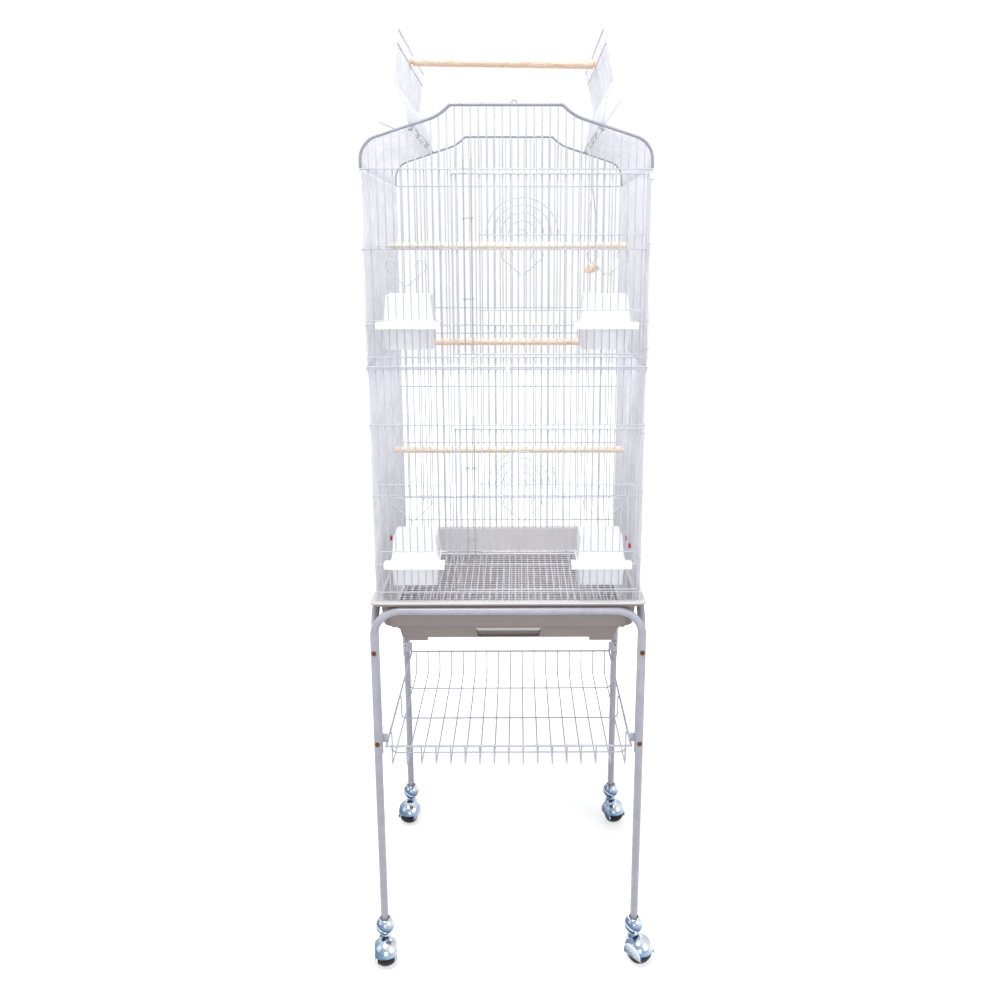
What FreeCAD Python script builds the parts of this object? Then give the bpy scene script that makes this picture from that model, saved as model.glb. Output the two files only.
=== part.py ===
"""Wire bird cage with a play top, standing on a rolling tube stand with a wire basket.

Millimetres, +Z up, the front of the cage faces -Y.  Every wire is its own round bar, laid against
its neighbours with a hair of clearance, as it is before the welds are made.
"""
import FreeCAD, Part
import math
import os

os.makedirs("parts", exist_ok=True)

Vector = FreeCAD.Vector

# ---------------------------------------------------------------- driving dimensions: cage
CAGE_WIDTH = 457.0            # between corner uprights, side to side
CAGE_DEPTH = 432.0            # between corner uprights, front to back
BARS_ACROSS = 37              # spaces between bars, front and rear
BARS_DEEP = 35                # spaces between bars, each side
BAR_R = 1.0                   # thin vertical bars
UPRIGHT_R = 1.2               # corner uprights and door stiles
RING_R = 1.1                  # horizontal wires
FRAME_R = 1.5                 # heavy wires at the panel edges
DOOR_RAIL_R = 1.3             # top and bottom wires of the big doors
ARCH_R = 2.2                  # front and rear arches
WELD_GAP = 0.05               # between wires that touch
SLIDE_GAP = 0.35              # between wires that move past each other
SEAT_GAP = 0.3                # between a loose piece and its seat

# levels above the base rim
LOW_RING = 17.0
FEEDER_RING_LOW = 68.0
TOP_RING_LOW = 189.5
DOOR_RING_LOW = 311.5
LOWER_TOP = 404.5
DOOR_RING_UP = 424.0
FEEDER_RING_UP = 476.5
TOP_RING_UP = 596.0
ROOF_RING = 718.5
ARCH_TOP = 813.5
PANEL_SPLIT = 2 * FRAME_R + SEAT_GAP

# roof outline, from the corner to the middle
SHOULDER_DROP = 55.0          # arch top down to the shoulder corner
SHOULDER_BEND = 36.0
STEP_DROP = 16.4              # arch top down to the foot of the step
STEP_FOOT = 106.0             # half width at the foot of the step
STEP_HEAD = 87.0              # half width of the flat top
STEP_BEND = 8.0
FOOT_BEND = 70.0
ROOF_OPENING = 152.5          # half width between the play top hinges

# ---------------------------------------------------------------- driving dimensions: doors
DOOR_EDGE_BAR = 12            # first bar of a big door, counted from the left
DOOR_MARGIN = 7.0             # between a ring and the rail of the big door beside it
DOOR_LOW_MARGIN = 5.0
FEEDER_SPACES = 9             # bar spaces across a feeder door
CENTRE_FIRST_BAR = 15
CENTRE_SPACES = 11
SLIDE_DOOR_HEIGHT = 118.0
SLIDE_DOOR_LIFT = 17.0        # how far five of the doors are raised
SLIDE_DOOR_SILL = 7.0         # lowest door wire above the ring under it
HOOK_R = 0.8
HOOK_BEND = 1.1
ARC_RADII = (57.0, 46.0, 34.0, 22.0, 8.0)
SCROLL_REACH = 30.0
SCROLL_RISE = 26.0
SCROLL_CURL = 9.0
SCROLL_SILL = 54.0            # point of the scroll above the bottom wire
LATCH_RISE = 23.0             # latch rods above the big door's top rail
LATCH_BARS = (13, 14)
LATCH_CLIPS = (0.3, 0.72)     # share of the rod's length
EYE_R = 2.3                   # ring of a hinge eye, to the middle of its wire
EYE_WIRE = 0.7

# ---------------------------------------------------------------- driving dimensions: fittings
PERCH_R = 6.4
PLAY_PERCH_R = 7.5
PLAY_PERCH_NECK_R = 4.0
PLAY_PERCH_INSET = 3.9          # shoulder inside the stiffening wire
PLAY_PERCH_REACH = 5.5          # end outside it, between two bars
UPPER_PERCH = (75.0, 602.0)   # depth, height above the rim
MIDDLE_PERCH = (68.0, 421.0)
LOWER_PERCH = (62.0, 208.5)
SWING_DROP = 221.0
SWING_SPLIT = 80.0
SWING_SPREAD = 123.0
SWING_BAR = 100.0
SWING_BAR_R = 8.0
SWING_YAW = -11.0
SWING_WIRE = 0.9
FEEDER_RISE = 46.0
FEEDER_DROP = 42.0
FEEDER_DEPTH = 62.0
FEEDER_WALL = 2.0
FEEDER_OVERHANG = 11.0        # flange beyond the cup, each side
FLANGE_REACH = 14.0
FLANGE_THICK = 2.5
FLANGE_LIP = 7.5
PLAY_DOOR_OPEN = (77.4, 83.6)   # right, left
PLAY_DOOR_FIRST_BAR = 2
PLAY_DOOR_GAP = 10.5          # from the middle of the roof to a closed door's free edge
STIFFENER_OUT = 121.0         # from the hinge, across the closed door
PROP_LENGTH = 80.0
PROP_LEFT_ANGLE = 23.5
PROP_RIGHT_ANGLE = 56.0

# ---------------------------------------------------------------- driving dimensions: base
RIM_THICK = 9.0
RIM_OVERHANG_X = 11.5         # beyond the uprights
RIM_OVERHANG_Y = 12.0
RIM_INSET = 6.5               # from the uprights in to the pocket
TUB_DEPTH = 51.5
TUB_WALL = 3.0
TUB_TAPER = 8.0
TUB_CORNER = 22.0
FLOOR_LEDGE = 9.5
TRAY_HEIGHT = 25.0
TRAY_WALL = 2.5
TRAY_TAPER = 6.0
TRAY_FLANGE = 7.5
RUNNER_DEPTH = 8.5
RUNNER_THICK = 2.5
HANDLE_WIDTH = 119.0
HANDLE_HEIGHT = 18.5
HANDLE_SLANT = 5.0
HANDLE_DEPTH = 9.0
FOOT_WIDTH = 41.0
FOOT_DROP = 6.5
FOOT_PLACE = 165.0
GRILLE_PITCH = 12.35
GRILLE_R = 1.1
GRILLE_MARGIN = 6.0

# ---------------------------------------------------------------- driving dimensions: stand
TUBE_R = 7.0
TUBE_WALL = 1.0
RAIL_HEIGHT = 703.7
RAIL_BEND = 48.0
LEG_X = 235.0
LEG_Y = 222.0
LEG_FOOT = 62.0
SIDE_LEG_FOOT = 423.0
BOLT_LEVELS = (451.0, 627.0)
BOLT_R = 2.4
BOLT_HEAD_R = 4.6
BOLT_HEAD = 2.6
NUT_THICK = 3.6
BASKET_RIM_FRONT = 438.0
BASKET_RIM_REAR = 432.5
BASKET_FLOOR_FRONT = 401.5
BASKET_FLOOR_REAR = 381.0
BASKET_WIRES = 17
BASKET_HALF_WIDTH = 212.0
BASKET_WIRE_R = 1.3
BASKET_RAIL_R = 2.0
BASKET_FRONT = 212.0
BASKET_REAR = 205.0
BASKET_CROSS = (-162.0, -19.0, 125.0)
LUG_THICK = 2.0

# ---------------------------------------------------------------- driving dimensions: casters
WHEEL_R = 25.0
WHEEL_HALF_WIDTH = 16.0
HOOD_R = 28.5
HOOD_HALF_WIDTH = 20.5
HOOD_SKIN = 2.2
HOOD_EDGE = 19.0
CASTER_TRAIL = 15.0
COLLAR_R = 17.5
COLLAR_Z = 71.5
COLLAR_HALF_HEIGHT = 15.5
STEM_R = 3.5
AXLE_R = 2.5
RUN_GAP = 0.1
CASTER_YAWS = {"front_left": 8.0, "front_right": 42.0, "rear_left": -14.0, "rear_right": 22.0}

# ---------------------------------------------------------------- worked out from the above
HALF_W = CAGE_WIDTH / 2
HALF_D = CAGE_DEPTH / 2
PITCH_W = CAGE_WIDTH / BARS_ACROSS
PITCH_D = CAGE_DEPTH / BARS_DEEP
RIM_BOTTOM = RAIL_HEIGHT + TUBE_R + SEAT_GAP
RIM_TOP = RIM_BOTTOM + RIM_THICK
PANEL_FOOT = RIM_TOP + SEAT_GAP
RING_OUT = UPRIGHT_R + RING_R + WELD_GAP
FRAME_OUT = UPRIGHT_R + FRAME_R + WELD_GAP
RAIL_OUT = UPRIGHT_R + DOOR_RAIL_R + WELD_GAP
SLIDE_BAR_R = 0.9
SLIDE_BAR_OUT = RING_OUT + RING_R + SLIDE_GAP + SLIDE_BAR_R
SLIDE_RAIL_R = 1.0
SLIDE_RAIL_OUT = SLIDE_BAR_OUT + SLIDE_BAR_R + WELD_GAP + SLIDE_RAIL_R
LATCH_OUT = RAIL_OUT + DOOR_RAIL_R + SLIDE_GAP + RING_R
TUB_BOTTOM = RIM_TOP - TUB_DEPTH
POCKET_HALF_W = HALF_W - RIM_INSET
POCKET_HALF_D = HALF_D - RIM_INSET
FLOOR_HALF_W = POCKET_HALF_W - TUB_TAPER - FLOOR_LEDGE
FLOOR_HALF_D = POCKET_HALF_D - TUB_TAPER - FLOOR_LEDGE
SHELF_TOP = TUB_BOTTOM - RUNNER_DEPTH + RUNNER_THICK
TRAY_FLANGE_TOP = SHELF_TOP + SEAT_GAP + TRAY_WALL
SIDE_LEG_Y = LEG_Y - 2 * TUBE_R - 0.2


def rim(level):
    """Height of a level that is stated above the base rim."""
    return RIM_TOP + level


def rod(start, end, radius):
    """A straight round bar between two points."""
    start, end = Vector(*start), Vector(*end)
    return Part.makeCylinder(radius, (end - start).Length, start, end - start)


def bent_path(points, *bends):
    """A wire through the points, with one tangent arc at each inner point."""
    points = [Vector(*point) for point in points]
    if len(bends) == 1:
        bends = bends * (len(points) - 2)
    edges, start = [], points[0]
    for before, corner, after, bend in zip(points, points[1:], points[2:], bends):
        inward, outward = (before - corner).normalize(), (after - corner).normalize()
        half_turn = (math.pi - inward.getAngle(outward)) / 2
        cut = bend * math.tan(half_turn)
        first, last = corner + inward * cut, corner + outward * cut
        middle = corner + (inward + outward).normalize() * bend * (1 / math.cos(half_turn) - 1)
        edges.append(Part.LineSegment(start, first).toShape())
        edges.append(Part.Arc(first, middle, last).toShape())
        start = last
    edges.append(Part.LineSegment(start, points[-1]).toShape())
    return Part.Wire(edges)


def swept(path, radius):
    """A round bar of the given radius along a path."""
    first = path.Edges[0]
    start = first.valueAt(first.FirstParameter)
    along = first.tangentAt(first.FirstParameter)
    section = Part.Wire([Part.makeCircle(radius, start, along)])
    return path.makePipeShell([section], True, True)


def eye(centre, axis, ring=EYE_R, wire=EYE_WIRE):
    """A closed wire eye round an axis."""
    return Part.makeTorus(ring, wire, Vector(*centre), Vector(*axis))


def box(low, high):
    """A box between two corners."""
    low, high = Vector(*low), Vector(*high)
    size = high - low
    return Part.makeBox(size.x, size.y, size.z, low)


def rounded_outline(half_x, half_y, radius, z):
    """A rectangle with round corners, in a level plane."""
    corners = ((half_x, half_y), (-half_x, half_y), (-half_x, -half_y), (half_x, -half_y))
    edges = []
    for (x, y), (next_x, next_y), turn in zip(corners, corners[1:] + corners[:1], range(4)):
        centre = Vector(x - math.copysign(radius, x), y - math.copysign(radius, y), z)
        arc = Part.Circle(centre, Vector(0, 0, 1), radius)
        edges.append(Part.Arc(arc, turn * math.pi / 2, (turn + 1) * math.pi / 2).toShape())
        step = Vector(next_x - x, next_y - y, 0).normalize()
        start = edges[-1].valueAt(edges[-1].LastParameter)
        span = math.hypot(next_x - x, next_y - y) - 2 * radius
        edges.append(Part.LineSegment(start, start + step * span).toShape())
    return Part.Wire(edges)


def tapered_block(low, high):
    """A solid between two outlines, each (half x, half y, corner radius, z)."""
    return Part.makeLoft([rounded_outline(*low), rounded_outline(*high)], True, True)


def welded(solids):
    """Several touching pieces as one."""
    return solids[0].multiFuse(solids[1:]).removeSplitter()


def mirrored(solids):
    """The same pieces on the other side of the cage."""
    return [solid.mirror(Vector(0, 0, 0), Vector(1, 0, 0)) for solid in solids]


# ---------------------------------------------------------------- cage panels

def on_face(face, along, z, out=0.0):
    """A point on one face of the cage: along it, up it, and outwards from the bars."""
    if face == "front":
        return (along, -HALF_D - out, z)
    if face == "rear":
        return (along, HALF_D + out, z)
    if face == "left":
        return (-HALF_W - out, along, z)
    return (HALF_W + out, along, z)


def bar_x(index):
    """Place of a bar across the front or rear."""
    return -HALF_W + index * PITCH_W


def bar_y(index):
    """Place of a bar along a side."""
    return -HALF_D + index * PITCH_D


def upright_bar(face, along, low, high, radius=BAR_R):
    """A vertical bar on a face."""
    return rod(on_face(face, along, low), on_face(face, along, high), radius)


def level_wire(face, start, end, z, radius=RING_R, out=RING_OUT):
    """A horizontal wire outside the bars of a face."""
    return rod(on_face(face, start, z, out), on_face(face, end, z, out), radius)


def roof_height(x):
    """Height of the arch's middle line over a place across the cage, between the shoulders."""
    x = abs(x)
    top = rim(ARCH_TOP)
    if x <= STEP_HEAD:
        return top
    step_slope = math.atan2(STEP_DROP, STEP_FOOT - STEP_HEAD)
    reach = FOOT_BEND * math.tan((step_slope - ROOF_SLOPE) / 2)
    if STEP_FOOT - reach * math.cos(step_slope) < x < STEP_FOOT + reach * math.cos(ROOF_SLOPE):
        centre_x = STEP_FOOT + reach * math.cos(ROOF_SLOPE) + FOOT_BEND * math.sin(ROOF_SLOPE)
        centre_z = top - STEP_DROP - reach * math.sin(ROOF_SLOPE) + FOOT_BEND * math.cos(ROOF_SLOPE)
        return centre_z - math.sqrt(FOOT_BEND ** 2 - (x - centre_x) ** 2)
    if x <= STEP_FOOT:
        return top - STEP_DROP * (x - STEP_HEAD) / (STEP_FOOT - STEP_HEAD)
    fall = SHOULDER_DROP - ARCH_TOP_RUN_DROP
    slope_end = HALF_W
    height = top - STEP_DROP - fall * (x - STEP_FOOT) / (slope_end - STEP_FOOT)
    bend_start = HALF_W - SHOULDER_BEND + SHOULDER_BEND * math.sin(ROOF_SLOPE)
    if x > bend_start:
        centre_z = SHOULDER_Z - SHOULDER_BEND * math.tan((math.pi / 2 - ROOF_SLOPE) / 2)
        reach = min(x - (HALF_W - SHOULDER_BEND), SHOULDER_BEND)
        height = centre_z + math.sqrt(SHOULDER_BEND ** 2 - reach ** 2)
    return height


ARCH_TOP_RUN_DROP = STEP_DROP
SHOULDER_Z = rim(ARCH_TOP - SHOULDER_DROP)
ROOF_SLOPE = math.atan2(SHOULDER_DROP - STEP_DROP, HALF_W - STEP_FOOT)
BAR_TOP_GAP = ARCH_R / math.cos(math.atan2(STEP_DROP, STEP_FOOT - STEP_HEAD)) + SEAT_GAP


def bar_top(x):
    """Top of a bar that ends under the arch."""
    return min(roof_height(x - BAR_R), roof_height(x + BAR_R)) - BAR_TOP_GAP


def feeder_bars():
    """First and last bar of the left and the right feeder opening."""
    last = BARS_ACROSS - 1
    return (1, 1 + FEEDER_SPACES), (last - FEEDER_SPACES, last)


def centre_bars():
    """First and last bar of a centre opening."""
    return CENTRE_FIRST_BAR, CENTRE_FIRST_BAR + CENTRE_SPACES


def interrupted_bar(x, low, high, opening, is_cut, radius=BAR_R):
    """A bar from low to high, left out over the opening if it is cut there."""
    if not is_cut:
        return [upright_bar("front", x, low, high, radius)]
    sill, lintel = opening
    return [upright_bar("front", x, low, sill + RING_R, radius),
            upright_bar("front", x, lintel - RING_R, high, radius)]


def door_edge():
    """Left side of the big doors: the middle of their left stile."""
    return bar_x(DOOR_EDGE_BAR - 0.5)


def fixed_front_bars(low, high_of, ring_low, ring_top, opening):
    """Bars of a front panel: whole left of the big door, short above and below it."""
    solids = []
    first, last = feeder_bars()[0]
    for index in range(1, DOOR_EDGE_BAR):
        x = bar_x(index)
        solids += interrupted_bar(x, low, high_of(x), opening, first < index < last)
    for index in range(DOOR_EDGE_BAR, BARS_ACROSS):
        x = bar_x(index)
        solids.append(upright_bar("front", x, low, ring_low + RING_R))
        solids.append(upright_bar("front", x, ring_top - RING_R, high_of(x)))
    return solids


def full_wires(face, levels, half):
    """Thin horizontal wires over the whole width of a face."""
    end = half + UPRIGHT_R
    return [level_wire(face, -end, end, rim(level)) for level in levels]


def frame_wire(face, level, half):
    """A heavy horizontal wire over the whole width of a face."""
    end = half + UPRIGHT_R
    return level_wire(face, -end, end, rim(level), FRAME_R, FRAME_OUT)


def door_side_wires(levels):
    """Horizontal wires of the front that stop at the big door."""
    end = bar_x(DOOR_EDGE_BAR - 1) + BAR_R
    return [level_wire("front", -HALF_W - UPRIGHT_R, end, rim(level)) for level in levels]


def front_panel_upper():
    """Fixed upper front: bars up to the arch, wires round the big door."""
    low = rim(LOWER_TOP) + PANEL_SPLIT - FRAME_R
    opening = (rim(FEEDER_RING_UP), rim(TOP_RING_UP))
    solids = fixed_front_bars(low, bar_top, rim(DOOR_RING_UP), rim(ROOF_RING), opening)
    solids += full_wires("front", (DOOR_RING_UP, ROOF_RING), HALF_W)
    solids += door_side_wires((FEEDER_RING_UP, TOP_RING_UP))
    return solids + [frame_wire("front", LOWER_TOP + PANEL_SPLIT, HALF_W)]


def front_panel_lower():
    """Fixed lower front, from the base rim to the heavy wire in the middle of the cage."""
    high = rim(LOWER_TOP) + FRAME_R
    opening = (rim(FEEDER_RING_LOW), rim(TOP_RING_LOW))
    solids = fixed_front_bars(PANEL_FOOT, lambda x: high, rim(LOW_RING), rim(DOOR_RING_LOW), opening)
    solids += full_wires("front", (LOW_RING, DOOR_RING_LOW), HALF_W)
    solids += door_side_wires((FEEDER_RING_LOW, TOP_RING_LOW))
    return solids + [frame_wire("front", LOWER_TOP, HALF_W)]


LOWER_RINGS = (LOW_RING, FEEDER_RING_LOW, TOP_RING_LOW, DOOR_RING_LOW)
UPPER_RINGS = (DOOR_RING_UP, FEEDER_RING_UP, TOP_RING_UP, ROOF_RING)


def rear_panel(low, high_of, rings, frame_level):
    """Rear panel: one bar at each place and the same rings as the front."""
    solids = [upright_bar("rear", bar_x(i), low, high_of(bar_x(i))) for i in range(1, BARS_ACROSS)]
    return solids + full_wires("rear", rings, HALF_W) + [frame_wire("rear", frame_level, HALF_W)]


def side_panel(face, low, high, rings, frame_level):
    """Side panel with a heavier upright at each corner."""
    solids = []
    for index in range(BARS_DEEP + 1):
        radius = UPRIGHT_R if index in (0, BARS_DEEP) else BAR_R
        solids.append(upright_bar(face, bar_y(index), low, high, radius))
    return solids + full_wires(face, rings, HALF_D) + [frame_wire(face, frame_level, HALF_D)]


def roof_points(inner_x, start_z):
    """Roof line from the corner up over the shoulder to a place on the slope."""
    inner_z = SHOULDER_Z + (HALF_W - inner_x) * math.tan(ROOF_SLOPE)
    return [(HALF_W, start_z), (HALF_W, SHOULDER_Z), (inner_x, inner_z)]


HINGE_Z = roof_points(ROOF_OPENING, 0)[-1][1]
ROOF_FOOT = rim(ROOF_RING) + RING_R + 2 * WELD_GAP


def arch(y):
    """The heavy arch over the front or the rear."""
    top = rim(ARCH_TOP)
    side = [(HALF_W, y, ROOF_FOOT), (HALF_W, y, SHOULDER_Z), (STEP_FOOT, y, top - STEP_DROP),
            (STEP_HEAD, y, top)]
    other = [(-x, y, z) for x, y, z in reversed(side)]
    bends = (SHOULDER_BEND, FOOT_BEND, STEP_BEND)
    return swept(bent_path(side + other, *bends, *reversed(bends)), ARCH_R)


def end_bar(y):
    """Fixed bar over the roof opening beside an arch, from hinge wire to hinge wire."""
    top = rim(ARCH_TOP)
    away = FRAME_R + WELD_GAP
    side = [(ROOF_OPENING - away * math.cos(ROOF_SLOPE), y, HINGE_Z + away * math.sin(ROOF_SLOPE)),
            (STEP_FOOT, y, top - STEP_DROP), (STEP_HEAD, y, top)]
    other = [(-x, y, z) for x, y, z in reversed(side)]
    return swept(bent_path(side + other, FOOT_BEND, STEP_BEND, STEP_BEND, FOOT_BEND), BAR_R)


def hanging_loop():
    """Small ring that stands on the middle of the front arch."""
    ring = 4.0
    centre = (PITCH_W, -HALF_D, rim(ARCH_TOP) + ARCH_R + ring + EYE_WIRE + WELD_GAP)
    return eye(centre, (0, 1, 0), ring)


def roof_panel():
    """Right roof slope: bent bars between a bottom wire and the hinge wire of the play top."""
    reach = ROOF_OPENING + (FRAME_R + WELD_GAP) * math.cos(ROOF_SLOPE)
    outline = roof_points(reach, ROOF_FOOT)
    points = [(x, bar_y(1), z) for x, z in outline]
    bar = swept(bent_path(points, SHOULDER_BEND), BAR_R)
    solids = []
    for index in range(1, BARS_DEEP):
        moved = bar.copy()
        moved.translate(Vector(0, bar_y(index) - bar_y(1), 0))
        solids.append(moved)
    span = HALF_D - ARCH_R - WELD_GAP
    foot_z = ROOF_FOOT + RING_R
    solids.append(rod((HALF_W + RING_OUT, -span, foot_z), (HALF_W + RING_OUT, span, foot_z), RING_R))
    solids.append(rod((ROOF_OPENING, -span, HINGE_Z), (ROOF_OPENING, span, HINGE_Z), FRAME_R))
    return solids


def panel_clips():
    """Four flat clips that hold the upper cage on the lower one."""
    solids = []
    out = FRAME_OUT + FRAME_R + WELD_GAP
    low, high = rim(LOWER_TOP) - FRAME_R, rim(LOWER_TOP) + PANEL_SPLIT + FRAME_R
    for side in (-1, 1):
        near, far = side * (HALF_D + out), side * (HALF_D + out + 1)
        solids.append(box((-4, min(near, far), low), (4, max(near, far), high)))
        near, far = side * (HALF_W + out), side * (HALF_W + out + 1)
        solids.append(box((min(near, far), -4, low), (max(near, far), 4, high)))
    return solids


# ---------------------------------------------------------------- doors

def big_door(low_ring, sill_ring, lintel_ring, top_ring):
    """Big front door, hinged on the right corner upright, with two openings in it."""
    low, high = rim(low_ring) + DOOR_LOW_MARGIN, rim(top_ring) - DOOR_MARGIN
    opening = (rim(sill_ring), rim(lintel_ring))
    left, right = door_edge(), bar_x(BARS_ACROSS - 0.5)
    bottom, top = low - DOOR_RAIL_R, high + DOOR_RAIL_R
    solids = []
    for index in range(DOOR_EDGE_BAR, BARS_ACROSS):
        gaps = (centre_bars(), feeder_bars()[1])
        is_cut = any(first < index < last for first, last in gaps)
        solids += interrupted_bar(bar_x(index), bottom, top, opening, is_cut)
    for x in (left, right):
        solids.append(upright_bar("front", x, bottom, top, UPRIGHT_R))
    ends = (left - UPRIGHT_R, right + UPRIGHT_R)
    for z in (low, high):
        solids.append(level_wire("front", *ends, z, DOOR_RAIL_R, RAIL_OUT))
    for z in opening:
        solids.append(level_wire("front", *ends, z))
    for z in (low + 8, opening[0] + 8, opening[1] + 8, high - 8):
        arm = rod((right + UPRIGHT_R - 0.5, -HALF_D, z), (HALF_W - EYE_R, -HALF_D, z), EYE_WIRE)
        ring = eye((HALF_W, -HALF_D, z), (0, 0, 1))
        arm = arm.cut(upright_bar("front", right, bottom, top, UPRIGHT_R + WELD_GAP))
        solids.append(welded([arm, ring]))
    return solids


def slide_hook(x, z, side):
    """Hook of a sliding door round its guide bar; side is the way back to the door."""
    reach = BAR_R + SLIDE_GAP + HOOK_R
    edge = x - side * reach
    back = -HALF_D + reach
    corners = [(edge, -HALF_D - SLIDE_RAIL_OUT - HOOK_R, z), (edge, back, z), (x + side * HOOK_R, back, z)]
    return swept(bent_path(corners, HOOK_BEND), HOOK_R)


def scroll(x, z):
    """Open heart of two curled wires that meet at a point."""
    angle = math.atan2(SCROLL_RISE, SCROLL_REACH)
    y = -HALF_D - SLIDE_BAR_OUT - SLIDE_BAR_R - WELD_GAP - HOOK_R
    sides = []
    for side in (-1, 1):
        def place(u, v):
            return Vector(x + side * u, y, z + v)
        centre_u = SCROLL_REACH - SCROLL_CURL * math.sin(angle)
        centre_v = SCROLL_RISE + SCROLL_CURL * math.cos(angle)

        def on_curl(turn):
            return place(centre_u + SCROLL_CURL * math.cos(turn), centre_v + SCROLL_CURL * math.sin(turn))
        start = angle - math.pi / 2
        end = start + math.radians(265)
        toe = place(HOOK_R / math.cos(angle), HOOK_R / math.cos(angle) * math.tan(angle))
        line = Part.LineSegment(toe, on_curl(start)).toShape()
        curl = Part.Arc(on_curl(start), on_curl((start + end) / 2), on_curl(end)).toShape()
        sides.append(swept(Part.Wire([line, curl]), HOOK_R))
    return sides


def half_ring(x, z, radius):
    """A standing half circle of wire over a sliding door's top wire."""
    y = -HALF_D - SLIDE_RAIL_OUT
    rise = SLIDE_RAIL_R + 4 * WELD_GAP
    reach = math.sqrt(radius ** 2 - rise ** 2)
    points = [Vector(x + reach, y, z + rise), Vector(x, y, z + radius), Vector(x - reach, y, z + rise)]
    return swept(Part.Wire([Part.Arc(*points).toShape()]), HOOK_R)


def sliding_door(bars, ring_level, lift, has_arcs):
    """Door that slides up its two guide bars, with a scroll and, in the centre, half rings."""
    first, last = bars
    low = rim(ring_level) + SLIDE_DOOR_SILL + lift
    high = low + SLIDE_DOOR_HEIGHT
    solids = []
    for index in range(first + 1, last):
        x = bar_x(index)
        y = -HALF_D - SLIDE_BAR_OUT
        solids.append(rod((x, y, low - SLIDE_RAIL_R), (x, y, high + SLIDE_RAIL_R), SLIDE_BAR_R))
    reach = BAR_R + SLIDE_GAP + HOOK_R
    for z in (low, high):
        start = bar_x(first) - reach + HOOK_R + WELD_GAP
        end = bar_x(last) + reach - HOOK_R - WELD_GAP
        solids.append(level_wire("front", start, end, z, SLIDE_RAIL_R, SLIDE_RAIL_OUT))
        solids.append(slide_hook(bar_x(first), z, 1))
        solids.append(slide_hook(bar_x(last), z, -1))
    middle = (bar_x(first) + bar_x(last)) / 2
    solids += scroll(middle, low + SCROLL_SILL)
    if has_arcs:
        solids += [half_ring(middle, high, radius) for radius in ARC_RADII]
    return solids


def door_latch(low_ring, top_ring):
    """Two latch rods that slide on the big door, held by two wire clips."""
    low = rim(low_ring) + DOOR_LOW_MARGIN + 5
    high = rim(top_ring) - DOOR_MARGIN + LATCH_RISE
    y = -HALF_D - LATCH_OUT
    left, right = (bar_x(index) for index in LATCH_BARS)
    solids = [rod((x, y, low), (x, y, high), RING_R) for x in (left, right)]
    front = y - RING_R - WELD_GAP - HOOK_R
    back = -HALF_D + BAR_R + SLIDE_GAP + HOOK_R
    reach = RING_R + WELD_GAP + HOOK_R + 0.4
    middle = (left + right) / 2
    for share in LATCH_CLIPS:
        z = high - share * (high - low)
        corners = [(middle - 1, back, z), (left - reach, back, z), (left - reach, front, z),
                   (right + reach, front, z), (right + reach, back, z), (middle + 1, back, z)]
        solids.append(swept(bent_path(corners, HOOK_BEND), HOOK_R))
    return solids


# ---------------------------------------------------------------- feeders

def feeder(bars, ring_level):
    """Hooded seed cup that hangs on a ring by the flange of its opening."""
    first, last = bars
    middle = (bar_x(first) + bar_x(last)) / 2
    flange_half = (bar_x(last) - bar_x(first)) / 2 - BAR_R - 2.5
    cup_half = flange_half - FEEDER_OVERHANG
    front = -HALF_D + BAR_R + 2
    rear = front + FEEDER_DEPTH
    centre_y = (front + rear) / 2
    seat = rim(ring_level) + RING_R + SEAT_GAP
    half_depth = FEEDER_DEPTH / 2
    corner = 5.0

    def block(low_half, high_half, low_z, high_z, inset):
        low = (low_half - inset, half_depth - inset, corner - inset, low_z)
        high = (high_half - inset, half_depth - inset, corner - inset, high_z)
        return tapered_block(low, high)

    cup = block(cup_half - 3, cup_half, seat - FEEDER_DROP, seat, 0)
    cup = cup.cut(block(cup_half - 3, cup_half, seat - FEEDER_DROP + FEEDER_WALL, seat + 1, FEEDER_WALL))
    hood = block(cup_half, cup_half - 5, seat, seat + FEEDER_RISE, 0)
    hood = hood.cut(block(cup_half, cup_half - 5, seat - 1, seat + FEEDER_RISE - FEEDER_WALL, FEEDER_WALL))
    mouth = box((-cup_half + 8, half_depth / 2, seat + FLANGE_THICK), (cup_half - 8, half_depth + 5,
                seat + FEEDER_RISE - 8))
    hood = hood.cut(mouth)
    cavity = block(cup_half - 3, cup_half - 3, seat - 5, seat + FLANGE_THICK + 5, FEEDER_WALL)
    lip_y = -HALF_D - FLANGE_REACH - centre_y
    plate = box((-flange_half, lip_y, seat), (flange_half, -half_depth + 4, seat + FLANGE_THICK))
    collar = block(cup_half + 1.5, cup_half + 1.5, seat, seat + FLANGE_THICK, 0)
    lip = box((-flange_half, lip_y, seat - FLANGE_LIP), (flange_half, lip_y + 2.5, seat + 1))
    slot = box((-19, lip_y + 3.5, seat - 1), (19, lip_y + 8, seat + FLANGE_THICK + 1))
    body = welded([cup, hood, plate.cut(slot), collar, lip]).cut(cavity)
    body.translate(Vector(middle, centre_y, 0))
    return [body]


# ---------------------------------------------------------------- roof fittings

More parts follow.
